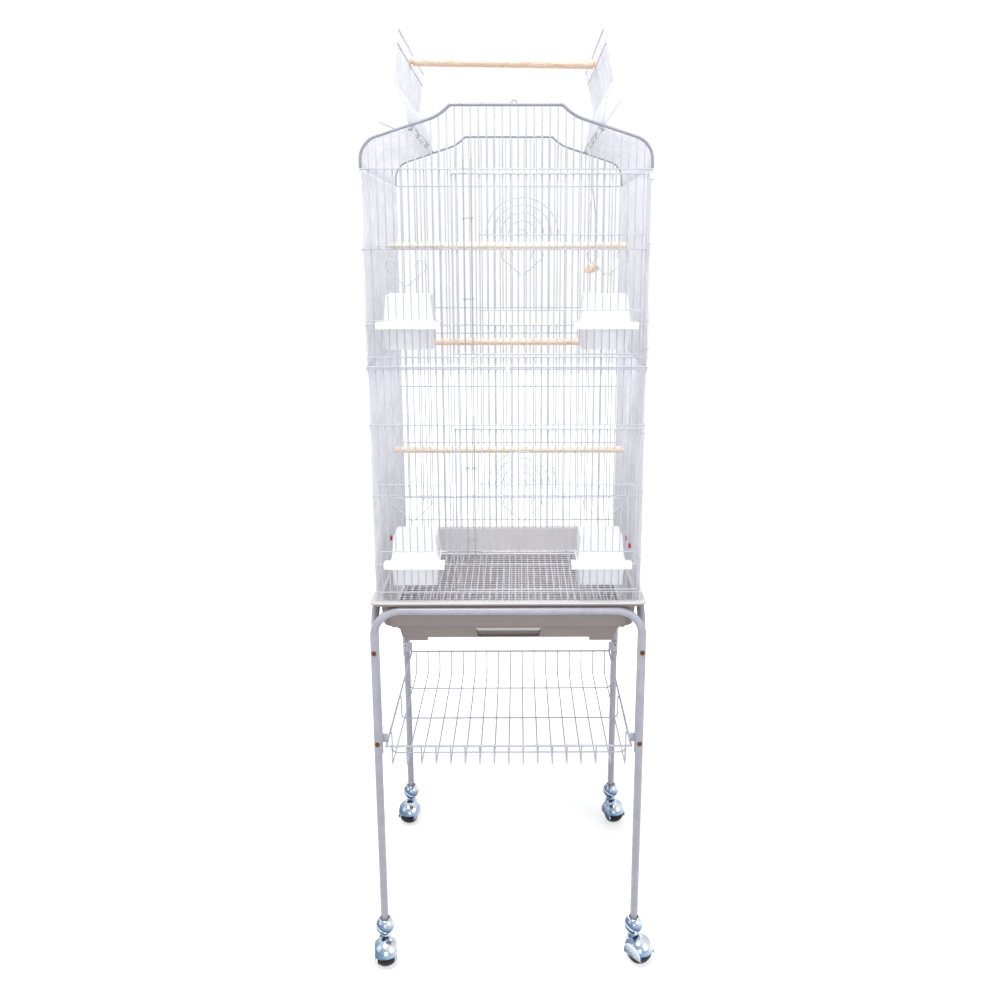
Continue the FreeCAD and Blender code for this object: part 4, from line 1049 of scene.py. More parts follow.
def outline(section: Section, centre: Vector, steps: int) -> list[Vector]:
    """Points of a section.

    Args:
        section: The outline, in millimetres.
        centre: Middle of the piece at height zero, in metres.
        steps: Points on each corner.

    Returns:
        The points, anticlockwise from above, in metres.
    """
    points = []
    for turn, (side_x, side_y) in enumerate(((1, 1), (-1, 1), (-1, -1), (1, -1))):
        x = side_x * (section.half_x - section.corner)
        y = side_y * (section.half_y - section.corner)
        for k in range(steps):
            angle = math.pi / 2 * (turn + k / (steps - 1))
            place = Vector((x + section.corner * math.cos(angle),
                            y + section.corner * math.sin(angle), section.z))
            points.append(centre + place * MM)
    return points


def loft(name: str, sections: list[Section], centre: Vector, looped: bool = False,
         steps: int = 8) -> Piece:
    """Skin over a stack of sections.

    Args:
        name: Name of the mesh.
        sections: Sections in order along the skin.
        centre: Middle of the piece at height zero.
        looped: Whether the last section joins the first; otherwise both ends are closed.
        steps: Points on each corner.

    Returns:
        The new object.
    """
    work = bmesh.new()
    rings = [[work.verts.new(point) for point in outline(section, centre, steps)]
             for section in sections]
    for lower, upper in zip(rings, rings[1:] + (rings[:1] if looped else [])):
        for k, corner in enumerate(lower):
            after = (k + 1) % len(lower)
            work.faces.new((corner, lower[after], upper[after], upper[k]))
    if not looped:
        work.faces.new(list(reversed(rings[0])))
        work.faces.new(rings[-1])
    bmesh.ops.recalc_face_normals(work, faces=work.faces)
    return from_work(name, work)


def from_work(name: str, work: bmesh.types.BMesh) -> Piece:
    """Turn mesh work into an object and free it.

    Args:
        name: Name of the object.
        work: The mesh work.

    Returns:
        The new object.
    """
    mesh = bpy.data.meshes.new(name)
    work.to_mesh(mesh)
    work.free()
    return new_piece(name, mesh)


def block(name: str, low: Vector, high: Vector) -> Piece:
    """A box between two corners, to be cut or joined.

    Args:
        name: Name of the object.
        low: Lowest corner, in metres.
        high: Highest corner.

    Returns:
        The new object.
    """
    work = bmesh.new()
    bmesh.ops.create_cube(work, size=1.0)
    for corner in work.verts:
        corner.co = Vector([low[k] + (corner.co[k] + 0.5) * (high[k] - low[k]) for k in range(3)])
    return from_work(name, work)


def carve(piece: Piece, adds: list[Piece],
          cuts: list[Piece]) -> Piece:
    """Join and cut closed shapes.

    Args:
        piece: The first shape.
        adds: Shapes to join.
        cuts: Shapes to take away.

    Returns:
        The carved piece.
    """
    for tools, operation in ((adds, "UNION"), (cuts, "DIFFERENCE")):
        for tool in tools:
            modifier = piece.modifiers.new("carve", "BOOLEAN")
            modifier.operation = operation
            modifier.solver = "EXACT"
            modifier.object = tool
            settle(piece)
            discard(tool)
    return piece


def bevelled(piece: Piece, width: float, least: float, segments: int) -> Piece:
    """Round the sharp edges of a piece.

    Args:
        piece: The piece.
        width: Width of the rounding, in millimetres.
        least: Edges that turn by more than this many degrees are rounded.
        segments: Steps of the rounding.

    Returns:
        The piece.
    """
    modifier = piece.modifiers.new("edges", "BEVEL")
    modifier.width, modifier.segments = width * MM, segments
    modifier.limit_method, modifier.angle_limit = "ANGLE", math.radians(least)
    modifier.harden_normals = False
    return settle(piece)


def softened(piece: Piece, width: float, finish: Finish, segments: int = 3) -> Piece:
    """Round the sharp edges of a piece, shade it and dress it.

    Args:
        piece: The piece.
        width: Width of the rounding, in millimetres.
        finish: Its finish.
        segments: Steps of the rounding.

    Returns:
        The piece.
    """
    return dressed(bevelled(piece, width, 28, segments), finish, sharp=40)


def dressed(piece: Piece, finish: Finish, sharp: float) -> Piece:
    """Shade a piece smooth up to an angle and give it its finish.

    Args:
        piece: The piece.
        finish: Its finish.
        sharp: Edges that turn by more than this many degrees stay sharp.

    Returns:
        The piece.
    """
    mesh, limit = piece.data, math.radians(sharp)
    mesh.materials.clear()
    mesh.materials.append(finish.made())
    work = bmesh.new()
    work.from_mesh(mesh)
    for face in work.faces:
        face.smooth = True
        face.material_index = 0
    for edge in work.edges:
        edge.smooth = len(edge.link_faces) == 2 and edge.calc_face_angle(0.0) < limit
    work.to_mesh(mesh)
    work.free()
    return piece


def turned(name: str, profile: Points, centre: Vector, axis: Vector,
           steps: int = 40) -> Piece:
    """A shape turned on a lathe.

    Args:
        name: Name of the mesh.
        profile: Distance along the axis and radius of each point, in millimetres.
        centre: Where distance zero is, in metres.
        axis: Axis of the shape.
        steps: Steps round the axis.

    Returns:
        The new object.
    """
    work = bmesh.new()
    turn = UP.rotation_difference(Vector(axis)).to_matrix()
    rings = []
    for along, radius in profile:
        ring = []
        for k in range(steps):
            angle = 2 * math.pi * k / steps
            place = Vector((radius * math.cos(angle), radius * math.sin(angle), along)) * MM
            ring.append(work.verts.new(centre + turn @ place))
        rings.append(ring)
    for lower, upper in zip(rings, rings[1:]):
        for k in range(steps):
            after = (k + 1) % steps
            work.faces.new((lower[k], lower[after], upper[after], upper[k]))
    bmesh.ops.remove_doubles(work, verts=work.verts, dist=0.001 * MM)
    open_edges = [edge for edge in work.edges if len(edge.link_faces) == 1]
    if open_edges:
        bmesh.ops.holes_fill(work, edges=open_edges, sides=0)
    bmesh.ops.recalc_face_normals(work, faces=work.faces)
    return from_work(name, work)


def rod_profile(half: float, radius: float, ease: float, step: float) -> Points:
    """Profile of a rod with eased ends.

    Args:
        half: Half its length.
        radius: Its radius.
        ease: Where the easing begins, from the end and from the radius.
        step: Where its middle is, from the end and from the radius.

    Returns:
        Distance along the axis and radius of each point.
    """
    side = [(half - ease, radius), (half - step, radius - step), (half, radius - ease)]
    return [(-along, size) for along, size in reversed(side)] + side


def rounded_copy(node: str, width: float, finish: Finish, segments: int = 2) -> Piece:
    """A copy of a CAD node with merged faces and rounded edges.

    Args:
        node: Node name.
        width: Width of the rounding, in millimetres.
        finish: Its finish.
        segments: Steps of the rounding.

    Returns:
        The new object.
    """
    work = bmesh.new()
    work.from_mesh(bpy.data.objects[node].data)
    bmesh.ops.remove_doubles(work, verts=work.verts, dist=0.002 * MM)
    bmesh.ops.dissolve_limit(work, angle_limit=math.radians(1.0), verts=work.verts,
                             edges=work.edges)
    return softened(from_work(node + "_shape", work), width, finish, segments)


# ---------------------------------------------------------------- wire panels and roof

@dataclass
class FlatPanels:
    """Front, rear and side panels of the upper and lower cage."""

    names: tuple[str, ...] = ("front_panel_upper", "front_panel_lower", "rear_panel_upper",
                              "rear_panel_lower", "left_panel_upper", "left_panel_lower",
                              "right_panel_upper", "right_panel_lower")

    def build(self) -> None:
        """Draw each panel's wires and welds, and the clips between upper and lower cage."""
        for name in self.names:
            work = WireWork()
            work.trace(name)
            work.weld()
            # Side panels get the lighter copy of the wire coat: painted light.
            coat = Finish.WIRE_PAINTED_LIGHT if name.startswith(("left", "right")) else Finish.WIRE
            present(work.draw(name + "_wires", coat), "cage", "wire", name)
        clips = rounded_copy("panel_clips", 0.4, Finish.STEEL)
        clips.name = "panel_clip_plates"
        present(clips, "cage", "nut_steel", "panel_clips")


@dataclass
class Roof:
    """Roof slopes beside the play top, and the two arches."""

    datum: Datum
    half_width: float = 228.5
    half_depth: float = 216.0
    foot: float = 719.7
    shoulder: float = 758.5
    shoulder_bend: float = 36.0
    step_foot: tuple[float, float] = (106.0, 797.1)
    step_head: tuple[float, float] = (87.0, 813.5)
    foot_bend: float = 70.0
    step_bend: float = 8.0
    hinge: float = 152.5
    bar: float = 1.0
    heavy: float = 1.5
    arch: float = 2.2
    weld_gap: float = 0.05
    bars: int = 34
    pitch: float = 432.0 / 35
    ring: float = 4.0
    ring_wire: float = 0.7
    ring_behind: float = 3.0
    ring_drop: float = 8.6

    def slope(self) -> float:
        """Angle of the roof beside the play top."""
        return math.atan2(self.step_foot[1] - self.shoulder, self.half_width - self.step_foot[0])

    def level(self, height: float) -> float:
        """Height above the floor of a level above the rim."""
        return self.datum.rim + height

    def hinge_height(self) -> float:
        """Height of the play top's hinge wires."""
        return self.level(self.shoulder) + (self.half_width - self.hinge) * math.tan(self.slope())

    def over(self, y: float, side: Points, bends: list[float]) -> list[Vector]:
        """Middle line of a wire that goes over the cage from side to side.

        Args:
            y: Depth of the wire.
            side: Corners of its right half from its end to the middle: across, above the rim.
            bends: Bend at each corner after the first.

        Returns:
            Points from the right end to the left end.
        """
        line = side + [(-x, z) for x, z in reversed(side)]
        corners = [self.datum.at(x, y, self.level(z)) for x, z in line]
        sizes = [bend * MM for bend in bends + bends[::-1]]
        return rounded_path(corners, sizes, steps=12)

    def build_arches(self) -> None:
        """Draw both arches with the fixed bars beside them, and the front one's hanging ring."""
        top = [self.step_foot, self.step_head]
        bends = [self.foot_bend, self.step_bend]
        foot = [(self.half_width, self.foot), (self.half_width, self.shoulder)]
        away = self.heavy + self.weld_gap
        root = [(self.hinge - away * math.cos(self.slope()),
                 self.hinge_height() - self.datum.rim + away * math.sin(self.slope()))]
        for name, side in (("front_arch", -1), ("rear_arch", 1)):
            work, bar = WireWork(), WireWork()
            work.line(self.over(side * self.half_depth, foot + top, [self.shoulder_bend, *bends]),
                      self.arch * MM)
            bar.line(self.over(side * (self.half_depth - self.pitch), root + top, bends),
                     self.bar * MM)
            if name == "front_arch":
                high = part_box(name)[1].z / MM
                centre = self.datum.at(self.pitch, -self.half_depth + self.ring_behind,
                                       high - self.ring_drop)
                work.ring(centre, BACK, self.ring * MM, self.ring_wire * MM, steps=20)
            arch = work.draw("arch", Finish.ARCH_PAINTED_DARK, sides=20)
            beside = bar.draw("beside", Finish.WIRE, sides=10)
            present(joined(name + "_wire", [arch, beside]), "cage", "arch_wire", name)

    def build_slope(self, side: int, node: str) -> None:
        """Draw one roof slope: a row of bent bars on two long wires.

        Args:
            side: 1 for right, -1 for left.
            node: CAD node that it stands for.
        """
        slope = self.slope()
        reach = self.hinge + (self.heavy + self.weld_gap) * math.cos(slope)
        top = self.shoulder + (self.half_width - reach) * math.tan(slope)
        first = -self.half_depth + self.pitch
        corners = [self.datum.at(side * x, first, self.level(z)) for x, z in
                   ((self.half_width, self.foot), (self.half_width, self.shoulder), (reach, top))]
        row = WireWork()
        row.bent(corners, self.shoulder_bend * MM, self.bar * MM, steps=9)
        bars = row.draw_row(node + "_bars", Finish.WIRE_PAINTED_LIGHT, self.bars, self.pitch * MM)
        rails = WireWork()
        rails.trace(node)
        for wire in rails.straight:
            centre = (wire.start + wire.end) / 2
            under = side < 0 or wire.radius > 1.3 * self.bar * MM
            towards = Vector((side * math.cos(slope), 0, -math.sin(slope)) if under
                             else (-side, 0, 0))
            for number in range(self.bars):
                y = self.datum.y + (first + number * self.pitch) * MM
                rails.bead(Vector((centre.x, y, centre.z)) + towards * wire.radius,
                           wire.radius * 0.95)
        wires = rails.draw(node + "_rails", Finish.WIRE_PAINTED_LIGHT, sides=12)
        present(joined(node + "_wires", [bars, wires]), "cage", "wire", node)

    def build(self) -> None:
        """Build the arches and both slopes."""
        self.build_arches()
        self.build_slope(1, "roof_panel_right")
        self.build_slope(-1, "roof_panel_left")


# ---------------------------------------------------------------- doors

@dataclass
class SwingDoors:
    """Big front doors with their hinge eyes, and the latch rods on them."""

    eye: float = 2.3
    eye_wire: float = 0.7
    clip_wire: float = 0.8
    clip_bend: float = 1.1
    clip_gap: float = 1.0

    def build_door(self, name: str) -> None:
        """Draw a door's wires, welds and hinge eyes.

        Args:
            name: Node and body name of the door.
        """
        work = WireWork()
        eyes = work.trace(name)
        work.weld()
        for low, high in eyes:
            centre = Vector((high.x - (self.eye + self.eye_wire) * MM, (low.y + high.y) / 2,
                             (low.z + high.z) / 2))
            work.ring(centre, UP, self.eye * MM, self.eye_wire * MM, steps=16)
            work.line([Vector((low.x, centre.y, centre.z)),
                       Vector((centre.x - self.eye * MM, centre.y, centre.z))], self.eye_wire * MM)
        present(work.draw(name + "_wires", Finish.WIRE), name, "wire", name)

    def build_latch(self, name: str) -> None:
        """Draw two latch rods and the clips that hold them on the door.

        Args:
            name: Node and body name of the latch.
        """
        work = WireWork()
        clips = work.trace(name)
        for low, high in clips:
            inset = Vector((1, 1, 0)) * self.clip_wire * MM
            near, far = low + inset, high - inset
            z, middle, gap = (low.z + high.z) / 2, (low.x + high.x) / 2, self.clip_gap * MM
            corners = [(middle - gap, far.y), (near.x, far.y), (near.x, near.y), (far.x, near.y),
                       (far.x, far.y), (middle + gap, far.y)]
            work.bent([Vector((x, y, z)) for x, y in corners], self.clip_bend * MM,
                      self.clip_wire * MM, steps=5)
        present(work.draw(name + "_rods", Finish.ROD), name, "wire", name)

    def build(self) -> None:
        """Build both doors and both latches."""
        for name in ("upper_front_door", "lower_front_door"):
            self.build_door(name)
        for name in ("upper_latch", "lower_latch"):
            self.build_latch(name)


@dataclass
class SlidingDoors:
    """Small doors that slide up on guide bars, with scrolls and half rings."""

    wire: float = 0.8
    bend: float = 1.1
    scroll_reach: float = 30.0
    scroll_rise: float = 26.0
    scroll_curl: float = 9.0
    scroll_turn: float = 265.0
    scroll_steps: int = 21
    arc_steps: int = 24
    names: tuple[str, ...] = ("upper_centre_door", "lower_centre_door", "upper_left_feeder_door",
                              "upper_right_feeder_door", "lower_left_feeder_door",
                              "lower_right_feeder_door")

    def hook(self, work: WireWork, low: Vector, high: Vector, side: int) -> None:
        """Draw a hook round a guide bar.

        Args:
            work: Wires of the door.
            low: Lowest corner of the hook.
            high: Highest corner.
            side: 1 where the hook opens to the right, -1 to the left.
        """
        inset = self.wire * MM
        z = (low.z + high.z) / 2
        outer, inner = (low.x + inset, high.x) if side > 0 else (high.x - inset, low.x)
        corners = [Vector((outer, low.y, z)), Vector((outer, high.y - inset, z)),
                   Vector((inner, high.y - inset, z))]
        work.bent(corners, self.bend * MM, self.wire * MM, steps=5)

    def half_ring(self, work: WireWork, low: Vector, high: Vector) -> None:
        """Draw a half circle standing on the top wire.

        Args:
            work: Wires of the door.
            low: Lowest corner.
            high: Highest corner.
        """
        inset = self.wire * MM
        centre_x, y = (low.x + high.x) / 2, (low.y + high.y) / 2
        reach, rise = (high.x - low.x) / 2 - inset, high.z - inset - low.z
        radius = (reach ** 2 + rise ** 2) / (2 * rise)
        start = math.asin(max(-1.0, min(1.0, (rise - radius) / radius)))
        points = []
        for k in range(self.arc_steps + 1):
            angle = -start + (math.pi + 2 * start) * k / self.arc_steps
            points.append(Vector((centre_x + radius * math.cos(angle), y,
                                  high.z - inset - radius + radius * math.sin(angle))))
        work.line(points, self.wire * MM)

    def scroll_side(self, work: WireWork, low: Vector, high: Vector, middle: float) -> None:
        """Draw one curled wire of the open heart.

        Args:
            work: Wires of the door.
            low: Lowest corner of the wire.
            high: Highest corner.
            middle: Middle of the door.
        """
        side = 1 if (low.x + high.x) / 2 > middle else -1
        angle = math.atan2(self.scroll_rise, self.scroll_reach)
        toe = self.wire / math.cos(angle)
        centre_u = self.scroll_reach - self.scroll_curl * math.sin(angle)
        centre_v = self.scroll_rise + self.scroll_curl * math.cos(angle)
        line = [(toe, toe * math.tan(angle))]
        start = angle - math.pi / 2
        for k in range(self.scroll_steps + 1):
            turn = start + math.radians(self.scroll_turn) * k / self.scroll_steps
            line.append((centre_u + self.scroll_curl * math.cos(turn),
                         centre_v + self.scroll_curl * math.sin(turn)))
        base = high.z / MM - self.wire - centre_v - self.scroll_curl
        y = (low.y + high.y) / 2
        work.line([Vector((middle + side * u * MM, y, (base + v) * MM)) for u, v in line],
                  self.wire * MM)

    def build_door(self, name: str) -> None:
        """Draw a sliding door.

        Args:
            name: Node and body name of the door.
        """
        work = WireWork()
        rest = work.trace(name)
        work.weld()
        low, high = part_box(name)
        middle = (low.x + high.x) / 2
        rail = max(wire.start.z for wire in work.straight if abs(wire.start.z - wire.end.z) < MM)
        for near, far in rest:
            size = far - near
            if size.y > 3 * self.wire * MM:
                self.hook(work, near, far, 1 if near.x < middle else -1)
            elif near.z > rail:
                self.half_ring(work, near, far)
            else:
                self.scroll_side(work, near, far, middle)
        present(work.draw(name + "_wires", Finish.WIRE), name, "wire", name)

    def build(self) -> None:
        """Build all six doors."""
        for name in self.names:
            self.build_door(name)


# ---------------------------------------------------------------- roof fittings

@dataclass
class PlayTop:
    """Play top doors, the perch across them and the wire loops beside them."""

    datum: Datum
    roof: Roof
    opened: tuple[float, float] = (77.4, 83.6)
    first_bar: int = 2
    bar: float = 1.0
    start: float = 5.85
    gap: float = 10.5
    eye: float = 2.9
    eye_wire: float = 0.7
    longest_eye: float = 20.0
    loop_bend: float = 1.5
    neck: float = 4.0
    neck_ease: float = 0.6
    shoulder_turn: Rows = ((0.1, 1.2), (0.5, 0.35), (1.4, 0.0))

    def turn(self, side: int) -> float:
        """Angle that a door is open by: the right one first, then the left one."""
        return math.radians(self.opened[0 if side > 0 else 1])

    def place(self, x: float, y: float, z: float, side: int) -> Vector:
        """A place on an open door, from its place on the closed door.

        Args:
            x: Across the cage from the hinge; negative is over the roof opening.
            y: Depth.
            z: Above the hinge.
            side: 1 for the right door, -1 for the left.

        Returns:
            The place in the frame.
        """
        turn = self.turn(side)
        along = x * math.cos(turn) + z * math.sin(turn)
        up = -x * math.sin(turn) + z * math.cos(turn)
        return self.datum.at(side * (self.roof.hinge + along), y, self.roof.hinge_height() + up)

    def build_door(self, side: int, node: str) -> None:
        """Draw one play top door, standing open.

        Args:
            side: 1 for right, -1 for left.
            node: Node and body name of the door.
        """
        roof = self.roof
        hinge = roof.hinge_height() - self.datum.rim
        foot = (-(roof.hinge - roof.step_foot[0]), roof.step_foot[1] - hinge)
        head = (-(roof.hinge - roof.step_head[0]), roof.step_head[1] - hinge)
        slope = roof.slope()
        root = (-self.start * math.cos(slope), self.start * math.sin(slope))
        tip = (-(roof.hinge - self.gap), head[1])
        first = -roof.half_depth + self.first_bar * roof.pitch
        count = roof.bars + 2 - 2 * self.first_bar
        corners = [self.place(x, first, z, side) for x, z in (root, foot, head, tip)]
        row = WireWork()
        row.bent(corners, [roof.foot_bend * MM, roof.step_bend * MM], self.bar * MM, steps=9)
        bars = row.draw_row(node + "_bars", Finish.WIRE_PAINTED_LIGHT, count, roof.pitch * MM)
        rails = WireWork()
        rest = rails.trace(node, only_deep=True)
        outward = Vector((side * math.sin(self.turn(side)), 0, math.cos(self.turn(side))))
        for wire in rails.straight:
            centre = (wire.start + wire.end) / 2
            for number in range(count):
                y = self.datum.y + (first + number * roof.pitch) * MM
                rails.bead(Vector((centre.x, y, centre.z)) + outward * wire.radius, self.bar * MM)
        for low, high in rest:
            if (high - low).length < self.longest_eye * MM:
                self.hinge_eye(rails, low, high, side)
        wires = rails.draw(node + "_rails", Finish.WIRE, sides=10)
        present(joined(node + "_wires", [bars, wires]), node, "wire", node)

    def hinge_eye(self, work: WireWork, low: Vector, high: Vector, side: int) -> None:
        """Draw a hinge eye and its short arm.

        Args:
            work: Wires of the door.
            low: Lowest corner of the eye.
            high: Highest corner.
            side: 1 for the right door, -1 for the left.
        """
        centre = self.datum.at(side * self.roof.hinge, 0, self.roof.hinge_height())
        centre.y = (low.y + high.y) / 2
        work.ring(centre, BACK, self.eye * MM, self.eye_wire * MM, steps=16)
        tip = Vector((max(low.x, high.x, key=lambda x: abs(x - centre.x)), centre.y,
                      high.z - self.eye_wire * MM))
        start = centre + (tip - centre).normalized() * self.eye * MM
        work.line([start, tip], self.eye_wire * MM)

    def build_perch(self) -> None:
        """Turn the perch that lies across the open doors, with a neck at each end."""
        parts = loose_parts(bpy.data.objects["play_top_perch"].data)
        body = as_wire(max(parts, key=lambda points: np.ptp(points[:, 0])))
        middle, run = (body.start + body.end) / 2, body.end - body.start
        spans = [(points - np.array(middle)) @ np.array(run.normalized()) for points in parts]
        shoulder, thick, neck = run.length / 2 / MM, body.radius / MM, self.neck
        ends = (-min(float(span.min()) for span in spans), max(float(span.max()) for span in spans))
        profile = []
        for sign, end in zip((-1, 1), ends):
            side = [(end / MM, neck - self.neck_ease), (end / MM - self.neck_ease, neck),
                    (shoulder, neck)]
            side += [(shoulder - inset, thick - less) for inset, less in self.shoulder_turn]
            side = [(sign * along, radius) for along, radius in side]
            profile += side if sign < 0 else side[::-1]
        piece = turned("play_top_perch_wood", profile, middle, run.normalized(), steps=48)
        dressed(piece, Finish.PINE_TOP, sharp=50)
        present(piece, "play_top_perch", "perch_wood", "play_top_perch")

    def build_loop(self, side: int, node: str) -> None:
        """Draw a wire loop that lies out from the hinge wire.

        Args:
            side: 1 for right, -1 for left.
            node: Node and body name of the loop.
        """
        low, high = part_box(node)
        centre = self.datum.at(side * self.roof.hinge, 0, self.roof.hinge_height())
        wire = self.eye_wire * MM
        tip = Vector((high.x - wire if side > 0 else low.x + wire, 0, high.z - wire))
        along = Vector((tip.x - centre.x, 0, tip.z - centre.z)).normalized()
        work = WireWork()
        corners = []
        for y in (low.y + wire, high.y - wire):
            eye = Vector((centre.x, y, centre.z))
            work.ring(eye, BACK, self.eye * MM, wire, steps=16)
            corners += [eye + along * self.eye * MM, Vector((tip.x, y, tip.z))]
        near, near_tip, far, far_tip = corners
        work.bent([near, near_tip, far_tip, far], self.loop_bend * MM, wire, steps=6)
        present(work.draw(node + "_wire", Finish.WIRE, sides=12), node, "wire", node)

    def build(self) -> None:
        """Build the doors, the perch and the loops."""
        self.build_door(1, "play_top_door_right")
        self.build_door(-1, "play_top_door_left")
        self.build_perch()
        self.build_loop(1, "roof_loop_right")
        self.build_loop(-1, "roof_loop_left")


@dataclass
class Swing:
    """Swing on the right hinge wire of the play top."""

    datum: Datum
    roof: Roof
    wire: float = 0.9
    ring: float = 3.05
    reach: float = 51.2
    foot: float = 8.0
    bend: float = 0.7
    split: float = 80.0
    spread: float = 123.0
    drop: float = 221.0
    bar: float = 100.0
    bar_radius: float = 8.0
    yaw: float = -11.0

    def at(self, along: float, z: float) -> Vector:
        """A place on the swing.

        Args:
            along: Along its bar from the middle.
            z: Below the hinge wire, negative.

        Returns:
            The place in the frame.
        """
        turn = math.radians(self.yaw)
        return self.datum.at(self.roof.hinge - along * math.sin(turn), along * math.cos(turn),
                             self.roof.hinge_height() + z)

    def build(self) -> None:
        """Build the wire yoke and the wooden bar."""
        turn = Matrix.Rotation(math.radians(self.yaw), 3, "Z")
        work = WireWork()
        work.ring(self.at(0, 0), turn @ BACK, self.ring * MM, self.wire * MM, steps=20)
        work.line([self.at(0, -self.ring), self.at(0, -self.split)], self.wire * MM)
        for side in (-1, 1):
            corners = [self.at(0, -self.split + 1.0), self.at(side * self.reach, -self.spread),
                       self.at(side * self.reach, -self.drop),
                       self.at(side * (self.reach - self.foot), -self.drop)]
            work.bent(corners, self.bend * MM, self.wire * MM, steps=5)
        present(work.draw("swing_yoke", Finish.WIRE, sides=12), "swing", "wire", "swing_wire")
        profile = rod_profile(self.bar / 2, self.bar_radius, ease=1.6, step=0.5)
        bar = turned("swing_bar", profile, self.at(0, -self.drop), turn @ BACK, steps=48)
        dressed(bar, Finish.PINE_DEEP, sharp=50)
        present(bar, "swing", "perch_wood", "swing_perch")


@dataclass
class Perches:
    """Three turned perches between the side walls."""

    radius: float = 6.4
    woods: tuple[tuple[str, Finish], ...] = (
        ("upper_perch", Finish.PINE_ACROSS), ("middle_perch", Finish.PINE_TOP),
        ("lower_perch", Finish.PINE_ACROSS))

    def build(self) -> None:
        """Turn each perch with eased ends."""
        for name, wood in self.woods:
            low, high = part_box(name)
            profile = rod_profile((high.x - low.x) / 2 / MM, self.radius, ease=1.3, step=0.4)
            piece = turned(name + "_wood", profile, (low + high) / 2, RIGHT, steps=48)
            dressed(piece, wood, sharp=50)
            present(piece, "cage", "perch_wood", name)


# ---------------------------------------------------------------- feeders and base

@dataclass
class Feeders:
    """Hooded seed cups that hang in the small doors' openings."""

    names: tuple[str, ...] = ("upper_left_feeder", "upper_right_feeder", "lower_left_feeder",
                              "lower_right_feeder")

    def build(self) -> None:
        """Mould each feeder with eased edges."""
        for name in self.names:
            piece = rounded_copy(name, 0.7, Finish.FEEDER, segments=3)
            piece.name = name + "_moulding"
            present(piece, name, "feeder_plastic", name)


